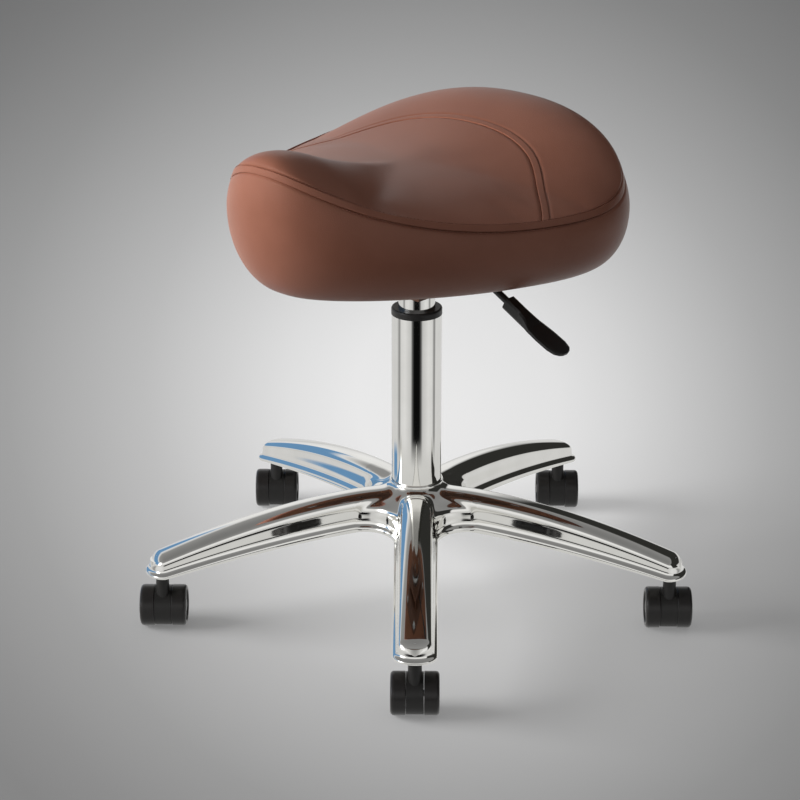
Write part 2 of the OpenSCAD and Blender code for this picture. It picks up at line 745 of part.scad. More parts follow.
module seat_cushion() {
    floor_w = channel_w * 0.42;
    pocket_top_z = seat_low_z + pocket_h;
    rings = concat(
        [[for (t = station_turns) raised(inset_rim(t, board_inset - seat_play), pocket_top_z)]],
        [[for (t = station_turns) raised(inset_rim(t, board_inset - seat_play), seat_low_z)]],
        [for (u = under_share) [for (t = station_turns) under_point(t, u)]],
        [[for (t = station_turns) side_point(t, 0)]],
        [[for (t = station_turns) side_point(t, 0.5)]],
        [[for (t = station_turns) side_point(t, 1 - channel_w / 2 / (seam_z(t) - bulge_z(t)))]],
        [[for (t = station_turns) seam_offset(rim_frame(t), -floor_w, -channel_depth)]],
        [[for (t = station_turns) seam_offset(rim_frame(t), floor_w, -channel_depth)]],
        [[for (t = station_turns) top_point(t, 1 - lip_share(t))]],
        [for (share = rear_ring_share) [for (t = station_turns)
            let (outer = 1 - lip_share(t), inner = arch_line(t) + arch_half(t))
            top_point(t, inner + (outer - inner) * share)]],
        [[for (t = station_turns) top_point(t, arch_line(t) + arch_half(t))]],
        [for (side = [-1, 1]) [for (t = station_turns)
            arch_fade(t) == 1
                ? seam_offset(arch_frame(t), side * floor_w, -channel_depth)
                : top_point(t, arch_line(t) - side * arch_half(t) / 3)]],
        [[for (t = station_turns) top_point(t, arch_line(t) - arch_half(t))]],
        [for (share = inner_ring_share) [for (t = station_turns)
            top_point(t, (arch_line(t) - arch_half(t)) * share)]]);
    color(leather_colour)
        skin(rings, [[0, seat_shift, pocket_top_z], [0, seat_shift, seat_low_z + dip_h]]);
}

// Cross-section of a raised welt in the frame of its seam
function welt_ring(f) = let (low = seat_play - channel_depth,
        heights = [low, 0, welt_proud, welt_proud, 0, low])
    [for (i = [0 : len(heights) - 1]) seam_offset(f, welt_w * welt_w_share[i], heights[i])];

module perimeter_welt() {
    rings = [for (t = station_turns) welt_ring(rim_frame(t))];
    count = len(rings[0]);
    total = len(rings);
    color(seam_colour) polyhedron(
        points = [for (ring = rings) each ring],
        faces = [for (i = [0 : total - 1], j = [0 : count - 1])
            let (a = i * count + j, b = i * count + (j + 1) % count, up = ((i + 1) % total) * count,
                c = up + j, d = up + (j + 1) % count)
            each [[a, c, d], [a, d, b]]],
        convexity = 8);
}

module arch_welt() {
    arch_turns = [for (i = [11 : -1 : -11]) i * seat_step];
    rings = [for (t = arch_turns) welt_ring(arch_frame(t))];
    low_out = -channel_depth / 2;
    color(seam_colour) skin(rings, [for (t = [arch_turns[0], arch_turns[len(arch_turns) - 1]])
        seam_offset(arch_frame(t), 0, low_out)]);
}

module inset_shape(inset) {
    polygon([for (t = station_turns) inset_rim(t, inset)]);
}

module seat_board() {
    color(wood_colour) translate([0, 0, seat_low_z]) difference() {
        linear_extrude(board_t) inset_shape(board_inset);
        at_bolts() translate([0, 0, -overrun]) cylinder(r = nut_barrel_r, h = board_t + 2 * overrun);
    }
}

module dust_cover() {
    color(black_colour) translate([0, 0, seat_low_z - cover_t]) difference() {
        linear_extrude(cover_t) inset_shape(cover_inset);
        at_bolts() translate([0, 0, -overrun]) cylinder(r = cover_hole_r, h = cover_t + 2 * overrun);
    }
}

module t_nuts() {
    color(steel_colour) at_bolts() translate([0, 0, seat_low_z]) difference() {
        union() {
            cylinder(r = nut_barrel_r, h = board_t);
            translate([0, 0, board_t]) cylinder(r = nut_flange_r, h = nut_flange_t);
        }
        translate([0, 0, -overrun]) cylinder(r = bolt_d / 2, h = board_t + nut_flange_t + 2 * overrun);
    }
}

module seat_bolts() {
    head_z = plate_low_z - bolt_washer_t - bolt_head_h;
    color(steel_colour) at_bolts() {
        translate([0, 0, head_z]) cylinder(r = bolt_head_r, h = bolt_head_h, $fn = 6);
        translate([0, 0, head_z + bolt_head_h])
            cylinder(r = bolt_d / 2, h = bolt_washer_t + plate_t + cover_t + board_t);
    }
}

module bolt_washers() {
    color(steel_colour) at_bolts() translate([0, 0, plate_low_z - bolt_washer_t])
        ring(bolt_washer_r, bolt_d / 2, bolt_washer_t);
}

// Casters, each turned the same way, with its axle behind its stem

wheel_r = wheel_d / 2;
hood_step = 0.4;
wheel_boss_band = 2;
caster_turn = base_turn;
axle_half = hood_w / 2 + side_play + wheel_w * 0.77;

// Places a child at the axle of one caster, with X along the axle
module at_axle(i) {
    rotate([0, 0, first_arm + i * arm_step]) translate([caster_circle_r, 0, 0])
        rotate([0, 0, caster_turn - first_arm - i * arm_step]) translate([0, caster_trail, wheel_r])
        children();
}

module caster_stems() {
    color(steel_colour) at_stems() {
        translate([0, 0, wheel_r + axle_d]) cylinder(r = stem_low_d / 2, h = flange_z - wheel_r - axle_d);
        translate([0, 0, flange_z]) cylinder(r = flange_r, h = flange_t);
        translate([0, 0, boss_z]) difference() {
            cylinder(r = stem_d / 2, h = stem_len);
            translate([0, 0, stem_len * grip_low_share])
                ring(stem_d, stem_d / 2 - grip_depth, stem_len * grip_h_share);
        }
    }
}

module stem_grip_rings() {
    color(steel_colour) at_stems() translate([0, 0, boss_z + stem_len * grip_low_share]) difference() {
        ring(stem_d / 2 + grip_proud, stem_d / 2 - grip_depth, stem_len * grip_h_share);
        translate([stem_d / 2, 0, 0]) cube([stem_d, stem_d * 0.15, stem_len], center = true);
    }
}

module caster_hood(i) {
    hood_r = wheel_r - hood_step;
    cut = 2 * wheel_d;
    color(black_colour) difference() {
        union() {
            at_axle(i) rotate([90, 0, 90]) translate([0, 0, -hood_w / 2]) linear_extrude(hood_w) difference() {
                circle(r = hood_r);
                translate([-cut / 2, hood_floor_gap - wheel_r - cut]) square([cut, cut]);
            }
            at_axle(i) translate([0, -caster_trail, 0])
                cylinder(r = neck_d / 2, h = neck_top_z - wheel_r);
        }
        at_axle(i) rotate([0, 90, 0]) cylinder(r = axle_d / 2, h = 2 * hood_w, center = true);
        at_axle(i) translate([0, -caster_trail, axle_d - seat_play])
            cylinder(r = stem_low_d / 2 + running, h = neck_top_z);
    }
}

module caster_axle(i) {
    color(steel_colour) at_axle(i) rotate([0, 90, 0]) cylinder(r = axle_d / 2, h = 2 * axle_half, center = true);
}

// Turned from a profile whose points are a radius and a distance from the wheel's inner face
module wheel(i, side) {
    bore = axle_d / 2 + running;
    depth = wheel_w * 0.8;
    rim_r = wheel_r * 0.79;
    cap_r = wheel_r * 0.3;
    boss_ring_r = cap_r + wheel_boss_band;
    color(black_colour) at_axle(i) rotate([0, side * 90, 0]) translate([0, 0, hood_w / 2 + side_play])
        turned([
            [bore, 0], [boss_ring_r, 0], [boss_ring_r, wheel_w * 0.12], [rim_r, wheel_w * 0.12], [rim_r, 0],
            [wheel_r * 0.975, 0], [wheel_r, wheel_w * 0.04], [wheel_r, wheel_w * 0.74],
            [wheel_r * 0.985, wheel_w * 0.86], [wheel_r * 0.94, wheel_w * 0.95], [wheel_r * 0.87, wheel_w],
            [rim_r, wheel_w * 0.985], [rim_r * 0.93, wheel_w * 0.9], [cap_r * 1.1, wheel_w * 0.85],
            [cap_r, wheel_w * 0.93], [cap_r * 0.5, wheel_w * 0.97], [0, wheel_w * 0.98],
            [0, depth], [bore, depth]]);
}

star_base();
column_tube();
guide_bush();
thrust_washer_low();
thrust_balls();
ball_cage();
caster_stems();
stem_grip_rings();
thrust_washer_top();
bump_stop();
piston_rod();
piston();
piston_ring();
rod_clip();
pressure_tube();
tube_gland();
rod_seal();
valve_body();
release_pin();
lift_socket();
seat_plate();
lever_pin();
lever_rod();
lever_grip();
seat_board();
t_nuts();
seat_bolts();
bolt_washers();
dust_cover();
seat_cushion();
perimeter_welt();
arch_welt();
caster_hood(0);  // caster_hood_1
caster_axle(0);  // caster_axle_1
wheel(0, -1);  // wheel_1_left
wheel(0, 1);  // wheel_1_right
caster_hood(1);  // caster_hood_2
caster_axle(1);  // caster_axle_2
wheel(1, -1);  // wheel_2_left
wheel(1, 1);  // wheel_2_right
caster_hood(2);  // caster_hood_3
caster_axle(2);  // caster_axle_3
wheel(2, -1);  // wheel_3_left
wheel(2, 1);  // wheel_3_right
caster_hood(3);  // caster_hood_4
caster_axle(3);  // caster_axle_4
wheel(3, -1);  // wheel_4_left
wheel(3, 1);  // wheel_4_right
caster_hood(4);  // caster_hood_5
caster_axle(4);  // caster_axle_5
wheel(4, -1);  // wheel_5_left
wheel(4, 1);  // wheel_5_right
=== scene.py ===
import json
import math

import bmesh
import bpy
import numpy as np
from mathutils import Matrix, Vector, kdtree


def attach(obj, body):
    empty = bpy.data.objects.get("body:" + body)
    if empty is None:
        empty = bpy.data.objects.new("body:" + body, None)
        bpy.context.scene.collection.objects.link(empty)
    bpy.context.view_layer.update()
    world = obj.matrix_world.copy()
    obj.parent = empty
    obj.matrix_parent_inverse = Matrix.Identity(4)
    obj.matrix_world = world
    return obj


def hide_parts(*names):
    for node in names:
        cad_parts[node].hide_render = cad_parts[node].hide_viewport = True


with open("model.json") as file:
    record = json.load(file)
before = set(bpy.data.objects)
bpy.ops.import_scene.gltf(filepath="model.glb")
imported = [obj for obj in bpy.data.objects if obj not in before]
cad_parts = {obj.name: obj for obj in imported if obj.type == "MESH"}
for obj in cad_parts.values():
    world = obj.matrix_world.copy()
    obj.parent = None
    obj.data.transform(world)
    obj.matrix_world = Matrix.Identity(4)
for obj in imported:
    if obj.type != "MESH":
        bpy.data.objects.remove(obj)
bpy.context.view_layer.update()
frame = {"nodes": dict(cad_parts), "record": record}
mm = 0.001

# The view that the photograph was taken from
cameraView = {"azimuth": 43.2, "pitch": 21.39, "distance": 2.429, "aimHeight": 0.2134, "sideShift": -0.0166,
              "focalLength": 108.95}

viewTurn = math.radians(cameraView["azimuth"])
viewTilt = math.radians(cameraView["pitch"])
rightWay = Vector((math.cos(viewTurn), math.sin(viewTurn), 0))
towardCamera = Vector((math.sin(viewTurn), -math.cos(viewTurn), 0))


def placeCamera():
    backWay = towardCamera * math.cos(viewTilt) + Vector((0, 0, math.sin(viewTilt)))
    upWay = backWay.cross(rightWay)
    place = Vector((0, 0, cameraView["aimHeight"])) + rightWay * cameraView["sideShift"]
    place += backWay * cameraView["distance"]
    bpy.ops.object.camera_add()
    camera = bpy.context.object
    camera.name = "photoCamera"
    camera.data.sensor_width = 36
    camera.data.lens = cameraView["focalLength"]
    camera.data.clip_end = 50
    turned = Matrix((rightWay, upWay, backWay)).transposed().to_4x4()
    camera.matrix_world = Matrix.Translation(place) @ turned
    bpy.context.scene.camera = camera


def toLinear(hexColour):
    parts = [int(hexColour[i:i + 2], 16) / 255 for i in (1, 3, 5)]
    return [c / 12.92 if c <= 0.04045 else ((c + 0.055) / 1.055) ** 2.4 for c in parts] + [1]


def enabledSocket(sockets, name):
    # a node such as Mix has several sockets of one name, of which one is in use
    if isinstance(name, int):
        return sockets[name]
    return next(socket for socket in sockets if socket.name == name and socket.enabled)


def addNode(tree, kind, feeds=None, **settings):
    # feeds holds each socket's own value, or the (node, output) that it takes
    node = tree.nodes.new("ShaderNode" + kind)
    for name, value in settings.items():
        setattr(node, name, value)
    for socket, value in (feeds or {}).items():
        if isinstance(value, tuple) and isinstance(value[0], bpy.types.Node):
            tree.links.new(enabledSocket(value[0].outputs, value[1]), enabledSocket(node.inputs, socket))
        else:
            enabledSocket(node.inputs, socket).default_value = value
    return node


def setRamp(ramp, stops):
    elements = ramp.color_ramp.elements
    while len(elements) < len(stops):
        elements.new(0.5)
    for element, (place, colour) in zip(elements, stops):
        element.position = place
        element.color = toLinear(colour) if isinstance(colour, str) else (colour, colour, colour, 1)


def newMaterial(name):
    material = bpy.data.materials.new(name)
    material.use_nodes = True
    tree = material.node_tree
    tree.nodes.clear()
    shader = addNode(tree, "BsdfPrincipled")
    output = addNode(tree, "OutputMaterial", {"Surface": (shader, "BSDF")})
    coords = addNode(tree, "TexCoord")
    return material, tree, shader, coords, output


def perMetre(sizeInMm):
    # texture scale whose features are about this many millimetres apart
    return 1000 / sizeInMm


# Leather seat, in millimetres and degrees. Turn is 0 at the rear, 90 on the lever's side and 180 at the nose.
seat = {"width": 357.6, "length": 385.2, "shift": -21.5, "rimPower": 2.24, "noseTaper": 0.377, "low": 369,
        "seamHeight": 95.4, "seamWave": 28.9, "seamSkew": 2.2, "seamPeak": 2.7, "bulgeShare": 0.684,
        "seamInset": 6.6, "lip": 6.5, "lipWave": 15.5, "lipSkew": -9, "lipLeast": 1, "dip": 98.3, "rollShare": 0.683,
        "crownPower": 1.8, "crownWave": -0.24, "underInset": 39.8, "pocketInset": 51.5, "pocketTop": 382.5,
        "archRear": 0.546, "archEnd": 89, "archRound": 0.333, "archPower": 7,
        "gridCells": 60, "sideRows": 6, "underRows": 11, "shrink": 0.2, "swellCap": 4.4, "rimInset": 46,
        "pocketEdge": 0.6, "sewnUnder": 0.8, "archHold": 3, "archHoldFade": 9, "rollStart": 0.5783,
        "valleyHalf": 6.6, "valleyDepth": 2.2, "valleySteep": 0.22, "turnStep": 0.5, "belowSeam": 0.86,
        "aboveSeam": 0.9965, "archStep": 0.012, "insideHeight": 420.0,
        "cuffDrop": 8, "cuffRise": 6, "cuffStart": 34, "cuffEnd": 84}


def signPower(value, power):
    return np.sign(value) * np.abs(value) ** power


def rimPoint(turn):
    angle = np.radians(turn)
    c = signPower(np.cos(angle), 2 / seat["rimPower"])
    s = signPower(np.sin(angle), 2 / seat["rimPower"])
    across = seat["width"] / 2 * s * (1 + seat["noseTaper"] * c)
    return np.stack([across, seat["length"] / 2 * c + seat["shift"]], -1)


def insetRim(turn, inset):
    along = rimPoint(turn + seat["turnStep"]) - rimPoint(turn - seat["turnStep"])
    outward = np.stack([-along[..., 1], along[..., 0]], -1) / np.linalg.norm(along, axis=-1, keepdims=True)
    return rimPoint(turn) - outward * np.asarray(inset)[..., None]


def wave(turn, count):
    return np.cos(np.radians(count * turn))


def smoothStep(value):
    value = np.clip(value, 0, 1)
    return value * value * (3 - 2 * value)


def cuffShare(turn):
    # one round the rear, where the cuff rolls down over its seam, and zero along the sides and the nose
    fromRear = np.abs((turn + 180) % 360 - 180)
    return 1 - smoothStep((fromRear - seat["cuffStart"]) / (seat["cuffEnd"] - seat["cuffStart"]))


def seamHeightAt(turn):
    return (seat["low"] + seat["seamHeight"] + seat["seamWave"] * wave(turn, 2) + seat["seamSkew"] * wave(turn, 3)
            + seat["seamPeak"] * wave(turn, 4) - seat["cuffDrop"] * cuffShare(turn))


def bulgeHeightAt(turn):
    return seat["low"] + seat["bulgeShare"] * (seamHeightAt(turn) - seat["low"])


def topPoint(turn, share):
    lip = seat["lip"] + seat["lipWave"] * wave(turn, 2) + seat["lipSkew"] * wave(turn, 3)
    lip = np.maximum(lip, seat["lipLeast"]) + (seat["cuffDrop"] + seat["cuffRise"]) * cuffShare(turn)
    roll = np.clip((share - seat["rollShare"]) / (1 - seat["rollShare"]), 0, 1)
    middle = seat["low"] + seat["dip"]
    rise = (seamHeightAt(turn) + lip - middle) * share ** (seat["crownPower"] + seat["crownWave"] * wave(turn, 2))
    edge = insetRim(turn, seat["seamInset"] + 0 * turn)
    return np.stack([edge[..., 0] * share, seat["shift"] + (edge[..., 1] - seat["shift"]) * share,
                     middle + rise - lip * (1 - np.sqrt(1 - roll ** 2))], -1)


def sidePoint(turn, share):
    plan = insetRim(turn, seat["seamInset"] * share ** 2)
    height = bulgeHeightAt(turn) + share * (seamHeightAt(turn) - bulgeHeightAt(turn))
    return np.concatenate([plan, height[..., None]], -1)


def underPoint(turn, share):
    # share runs round a quarter of an ellipse, from the widest line to the underside
    plan = insetRim(turn, seat["underInset"] * (1 - np.cos(share * math.pi / 2)))
    height = bulgeHeightAt(turn) - np.sin(share * math.pi / 2) * (bulgeHeightAt(turn) - seat["low"])
    return np.concatenate([plan, height[..., None]], -1)


def archShare(turn):
    reach = np.abs(turn) / seat["archEnd"]
    bend = seat["archRound"] * reach ** 2 + (1 - seat["archRound"]) * reach ** seat["archPower"]
    return seat["archRear"] + (1 - seat["archRear"]) * bend


def rollSpread(step):
    # rows of the top lie evenly along its flat middle and round its rolled edge
    start = seat["rollStart"]
    inner = step * seat["rollShare"] / start
    rolled = np.clip((step - start) / (1 - start), 0, 1) * math.pi / 2
    outer = seat["rollShare"] + (1 - seat["rollShare"]) * np.sin(rolled)
    return np.where(step < start, inner, outer)


def unit(vectors):
    return vectors / np.linalg.norm(vectors, axis=-1, keepdims=True)


def rimSeam(turns):
    # place, direction across and direction out of the leather, all round the perimeter seam
    whole = 1.0 + 0 * turns
    middle = sidePoint(turns, whole)
    along = unit(sidePoint(turns + seat["turnStep"], whole) - sidePoint(turns - seat["turnStep"], whole))
    below = unit(sidePoint(turns, seat["belowSeam"] * whole) - middle)
    above = unit(topPoint(turns, seat["aboveSeam"] * whole) - middle)
    across = unit(above - below)
    across = unit(across - along * np.sum(across * along, -1, keepdims=True))
    normal = np.cross(along, across)
    return middle, across, unit(normal) * outwardSign(middle, normal), along


def outwardSign(middle, normal):
    away = middle - np.array([0, seat["shift"], seat["insideHeight"]])
    return np.sign(np.sum(away * normal, -1, keepdims=True))


def archSeam(turns):
    middle = topPoint(turns, archShare(turns))
    ahead, behind = turns + seat["turnStep"], turns - seat["turnStep"]
    along = unit(topPoint(ahead, archShare(ahead)) - topPoint(behind, archShare(behind)))
    outer = topPoint(turns, np.minimum(archShare(turns) + seat["archStep"], 1))
    across = unit(outer - topPoint(turns, archShare(turns) - seat["archStep"]))
    across = unit(across - along * np.sum(across * along, -1, keepdims=True))
    normal = np.cross(along, across)
    return middle, across, normal * np.sign(normal[..., 2:3]), along


def clearSelection():
    for thing in bpy.context.selected_objects:
        thing.select_set(False)


def makeActive(piece):
    clearSelection()
    piece.select_set(True)
    bpy.context.view_layer.objects.active = piece


def newPiece(name, points, faces):
    # points come in millimetres
    mesh = bpy.data.meshes.new(name)
    mesh.from_pydata((np.asarray(points) * mm).tolist(), [], faces)
    mesh.validate()
    piece = bpy.data.objects.new(name, mesh)
    bpy.context.scene.collection.objects.link(piece)
    makeActive(piece)
    bpy.ops.object.mode_set(mode="EDIT")
    bpy.ops.mesh.select_all(action="SELECT")
    bpy.ops.mesh.normals_make_consistent(inside=False)
    bpy.ops.object.mode_set(mode="OBJECT")
    bpy.ops.object.shade_smooth()
    return piece


def addModifier(piece, kind, **settings):
    modifier = piece.modifiers.new(kind.title(), kind)
    for name, value in settings.items():
        setattr(modifier, name, value)
    makeActive(piece)
    bpy.ops.object.modifier_apply(modifier=modifier.name)


def readPoints(piece):
    points = np.zeros(len(piece.data.vertices) * 3)
    piece.data.vertices.foreach_get("co", points)
    return points.reshape(-1, 3)


def writePoints(piece, points):
    piece.data.vertices.foreach_set("co", points.ravel())
    piece.data.update()


def bridgeRows(first, second):
    count = len(first)
    return [[first[i], first[(i + 1) % count], second[(i + 1) % count], second[i]] for i in range(count)]


def cushionCage():
    # A square grid bent onto a disc gives a top with no pole, and its border carries on down the sides
    cells = seat["gridCells"]
    lines = np.linspace(-1, 1, cells + 1)
    u, v = [grid.ravel() for grid in np.meshgrid(lines, lines)]
    x, y = u * np.sqrt(1 - v ** 2 / 2), v * np.sqrt(1 - u ** 2 / 2)
    turns = np.degrees(np.arctan2(x, y))
    steps = np.clip(np.hypot(x, y), 0, 1)
    points = [topPoint(turns, rollSpread(steps))]
    index = np.arange((cells + 1) ** 2).reshape(cells + 1, cells + 1)
    faces = [[int(index[j, i]), int(index[j, i + 1]), int(index[j + 1, i + 1]), int(index[j + 1, i])]
             for j in range(cells) for i in range(cells)]
    border = [int(k) for k in np.concatenate([index[0, :-1], index[:-1, -1], index[-1, :0:-1], index[:0:-1, 0]])]
    borderTurns = turns[border]
    held = [np.zeros(len(turns))]
    held[0][border] = 1
    previous, made = border, len(turns)

    def addRow(row, hold):
        nonlocal previous, made
        points.append(row)
        held.append(np.full(len(row), hold))
        names = list(range(made, made + len(row)))
        faces.extend(bridgeRows(previous, names))
        previous, made = names, made + len(row)

    for step in np.linspace(1, 0, seat["sideRows"] + 1)[1:]:
        addRow(sidePoint(borderTurns, step + 0 * borderTurns), 0)
    for step in np.linspace(0, 1, seat["underRows"] + 1)[1:]:
        addRow(underPoint(borderTurns, step + 0 * borderTurns), 1 if step > seat["sewnUnder"] else 0)
    wall, low, high, edge = (seat[name] for name in ("pocketInset", "low", "pocketTop", "pocketEdge"))
    for inset, height in ((seat["rimInset"], low), (wall - edge, low), (wall, low), (wall, low + edge),
                          (wall, high - edge), (wall, high)):
        plan = insetRim(borderTurns, inset + 0 * borderTurns)
        addRow(np.concatenate([plan, np.full((len(plan), 1), float(height))], -1), 1)
    points.append(np.array([[0, seat["shift"], seat["pocketTop"]]]))
    held.append(np.ones(1))
    faces.extend([previous[i], previous[(i + 1) % len(previous)], made] for i in range(len(previous)))
    return np.concatenate(points), faces, np.concatenate(held), len(turns)


def distanceTo(points, seamPoints):
    # distance from each point to the nearest of the seam's points, and which one that is
    tree = kdtree.KDTree(len(seamPoints))
    for i, place in enumerate(seamPoints):
        tree.insert(place, i)
    tree.balance()
    found = [tree.find(place) for place in points]
    return np.array([f[2] for f in found]), np.array([f[1] for f in found])


filling = {"pressure": 4, "quality": 5, "stretching": 40, "bending": 6, "frames": 20}


def puffUp(piece, held):
    # Air pressure fills the leather between its seams, which stay where they are sewn
    group = piece.vertex_groups.new(name="sewn")
    for level in np.unique(np.round(held, 2)):
        group.add([int(i) for i in np.nonzero(np.round(held, 2) == level)[0]], float(level), "REPLACE")
    cloth = piece.modifiers.new("Filling", "CLOTH")
    cloth.settings.vertex_group_mass = "sewn"
    cloth.settings.use_pressure = True
    cloth.settings.uniform_pressure_force = filling["pressure"]
    cloth.settings.effector_weights.gravity = 0
    cloth.settings.quality = filling["quality"]
    cloth.settings.tension_stiffness = filling["stretching"]
    cloth.settings.compression_stiffness = filling["stretching"]
    cloth.settings.bending_stiffness = filling["bending"]
    cloth.collision_settings.use_collision = False
    cloth.point_cache.frame_end = filling["frames"]
    start = readPoints(piece)
    for number in range(1, filling["frames"] + 1):
        bpy.context.scene.frame_set(number)
    makeActive(piece)
    bpy.ops.object.modifier_apply(modifier=cloth.name)
    bpy.context.scene.frame_set(1)
    move = readPoints(piece) - start
    length = np.maximum(np.linalg.norm(move, axis=1), 1e-9)
    cap = seat["swellCap"] * mm * (1 - held)
    writePoints(piece, start + move * (np.minimum(length, cap) / length)[:, None])
    piece.vertex_groups.clear()


# turns at which the seams are sampled; the arch ends just inside the perimeter seam
rimTurns = np.linspace(0, 360, 1440, endpoint=False)
archTurns = np.linspace(-88.6, 88.6, 900)


def makeCushion():
    points, faces, held, topCount = cushionCage()
    cushion = newPiece("saddleCushion", points, faces)
    archPlaces = archSeam(archTurns)[0]
    fromArch, _ = distanceTo(points[:topCount], archPlaces)
    nearArch = 1 - smoothStep((fromArch - seat["archHold"]) / seat["archHoldFade"])
    held[:topCount] = np.maximum(held[:topCount], nearArch)
    normals = np.array([v.normal for v in cushion.data.vertices])
    writePoints(cushion, points * mm - normals * (seat["shrink"] * mm * (1 - held))[:, None])
    puffUp(cushion, held)
    addModifier(cushion, "SUBSURF", levels=2, render_levels=2)
    dense = readPoints(cushion) / mm
    for places, _, outward, _ in (rimSeam(rimTurns), archSeam(archTurns)):
        far, nearest = distanceTo(dense, places)
        sink = 1 - np.sqrt(np.clip(1 - (1 - far / seat["valleyHalf"]) ** 2, 0, 1))
        sink = np.where(far < seat["valleyHalf"], sink, 0) * seat["valleyDepth"] / seat["valleySteep"]
        dense -= outward[nearest] * sink[:, None].clip(0, seat["valleyDepth"])
    writePoints(cushion, dense * mm)
    return cushion


# Raised welts that run between the panels, and the thread along both their sides
trim = {"weltHalf": 3.2, "weltProud": 0.15, "weltRoot": -2.7, "stitchLength": 2.3, "stitchPitch": 3.3,
        "stitchRadius": 0.42, "stitchOffset": 4.5, "stitchSink": 0.9}
# half widths and heights of a welt's section, as shares of its own
weltShape = [(-1.04, -1), (-1.0, -0.35), (-0.93, 0.3), (-0.8, 0.72), (-0.5, 0.95), (0, 1), (0.5, 0.95),
             (0.8, 0.72), (0.93, 0.3), (1.0, -0.35), (1.04, -1)]


def makeWelt(name, seam, closed):
    places, across, outward, _ = seam
    rows = []
    for side, height in weltShape:
        lift = trim["weltProud"] * height if height > 0 else -trim["weltRoot"] * height
        rows.append(places + across * trim["weltHalf"] * side + outward * lift)
    rings = np.stack(rows, 1)
    count, width = rings.shape[:2]
    numbers = [[i * width + j for j in range(width)] for i in range(count)]
    faces = [bridge for i in range(count if closed else count - 1)
             for bridge in bridgeRows(numbers[i], numbers[(i + 1) % count])]
    if not closed:
        faces += [numbers[0], numbers[-1]]
    return newPiece(name, rings.reshape(-1, 3), faces)


def evenly(seam, pitch):
    places = seam[0]
    lengths = np.concatenate([[0], np.cumsum(np.linalg.norm(np.diff(places, axis=0), axis=1))])
    wanted = np.arange(pitch / 2, lengths[-1], pitch)
    picked = np.searchsorted(lengths, wanted)
    return [part[picked] for part in seam]


def makeStitches(name, seam, sides):
    bpy.ops.mesh.primitive_uv_sphere_add(segments=6, ring_count=4, radius=trim["stitchRadius"] * mm)
    bead = bpy.context.object
    bpy.ops.object.mode_set(mode="EDIT")
    bpy.ops.mesh.select_all(action="SELECT")
    bpy.ops.transform.resize(value=(1, 1, trim["stitchLength"] / (2 * trim["stitchRadius"])))
    bpy.ops.object.mode_set(mode="OBJECT")
    shape = readPoints(bead) / mm
    shapeFaces = [list(face.vertices) for face in bead.data.polygons]
    bpy.data.objects.remove(bead)
    places, across, outward, along = evenly(seam, trim["stitchPitch"])
    points, faces = [], []
    for place, sideways, out, ahead in zip(places, across, outward, along):
        for side in sides:
            middle = place + sideways * side * trim["stitchOffset"] - out * trim["stitchSink"]
            faces += [[k + len(points) * len(shape) for k in face] for face in shapeFaces]
            points.append(middle + shape[:, :1] * sideways + shape[:, 1:2] * out + shape[:, 2:] * ahead)
    return newPiece(name, np.concatenate(points), faces)


# Star base, one thin chromed casting: arms, hub with its funnel, and the lip that runs round all of them
star = {"arms": 5, "turn": -47.4, "stemCircle": 265.5, "hubTop": 129.5, "ridgeTop": 123, "rootLow": 87,
        "tipLow": 61.5, "tipHeight": 20.8, "rootHalf": 22, "tipHalf": 21, "tipLength": 16, "webRadius": 30,
        "ridgeStart": 50, "ridgePower": 1.75, "lowStart": 57.5, "lowPower": 1.5, "footShare": 0.8, "blend": 3.5,
        "mouth": 26.8, "hubReach": 80, "tubeRadius": 25.1, "ringRadius": 27.4, "wall": 2.6, "sleeveRadius": 29,
        "sleeveLow": 72, "bossRadius": 11.5, "boreRadius": 5.6, "bossLow": 59.5, "bossTop": 75.5, "ribWall": 3,
        "ribs": (82, 135.4, 193.8, 228), "ribFill": 0.94, "ribGap": 1.2, "ribRise": 4, "webRows": 14, "sideRows": 27,
        "tipRows": 12, "rootFade": 40, "noseLow": 0.36, "nosePower": 2.3}
# places of the skin's rows between the hub's mouth and the foot of the web
rootRows = [0, 0.03, 0.07, 0.12, 0.19, 0.28, 0.38, 0.48, 0.575, 0.67, 0.76, 0.84, 0.9, 0.94, 0.97, 0.986, 1]
# sections of an arm and of the lip round it: shares of their half widths and of their heights
domeShape = [(0, 1), (0.15, 0.997), (0.3, 0.985), (0.42, 0.962), (0.52, 0.93), (0.62, 0.89), (0.705, 0.835),
             (0.755, 0.76), (0.782, 0.66), (0.793, 0.52), (0.8, 0.36)]
lipShape = [(0, 1), (0.14, 0.8), (0.32, 0.64), (0.56, 0.53), (0.8, 0.45), (0.94, 0.36), (1, 0.22), (0.985, 0.08),
            (0.93, 0)]
# the hub's funnel, from the tube out to its shoulder: radius and height
funnelShape = [(26.6, 127.4), (28, 125), (30.4, 122.2), (33.6, 119.8), (38, 117.9), (43, 116.7), (49, 116),
               (60, 115.4)]


def ridgeHeight(x):
    run = np.clip((x - star["ridgeStart"]) / (star["stemCircle"] - star["ridgeStart"]), 0, None)
    return star["ridgeTop"] - (star["ridgeTop"] - star["tipLow"] - star["tipHeight"]) * run ** star["ridgePower"]


def lipHeight(x):
    run = np.clip((x - star["lowStart"]) / (star["stemCircle"] - star["lowStart"]), 0, None)
    return star["rootLow"] - (star["rootLow"] - star["tipLow"]) * run ** star["lowPower"]


halfStep = math.pi / star["arms"]
webMiddle = (star["rootHalf"] + star["webRadius"]) / math.sin(halfStep)
webStart = (star["rootHalf"] + star["webRadius"]) / math.tan(halfStep)
webCentre = webMiddle * np.array([math.cos(halfStep), math.sin(halfStep)])


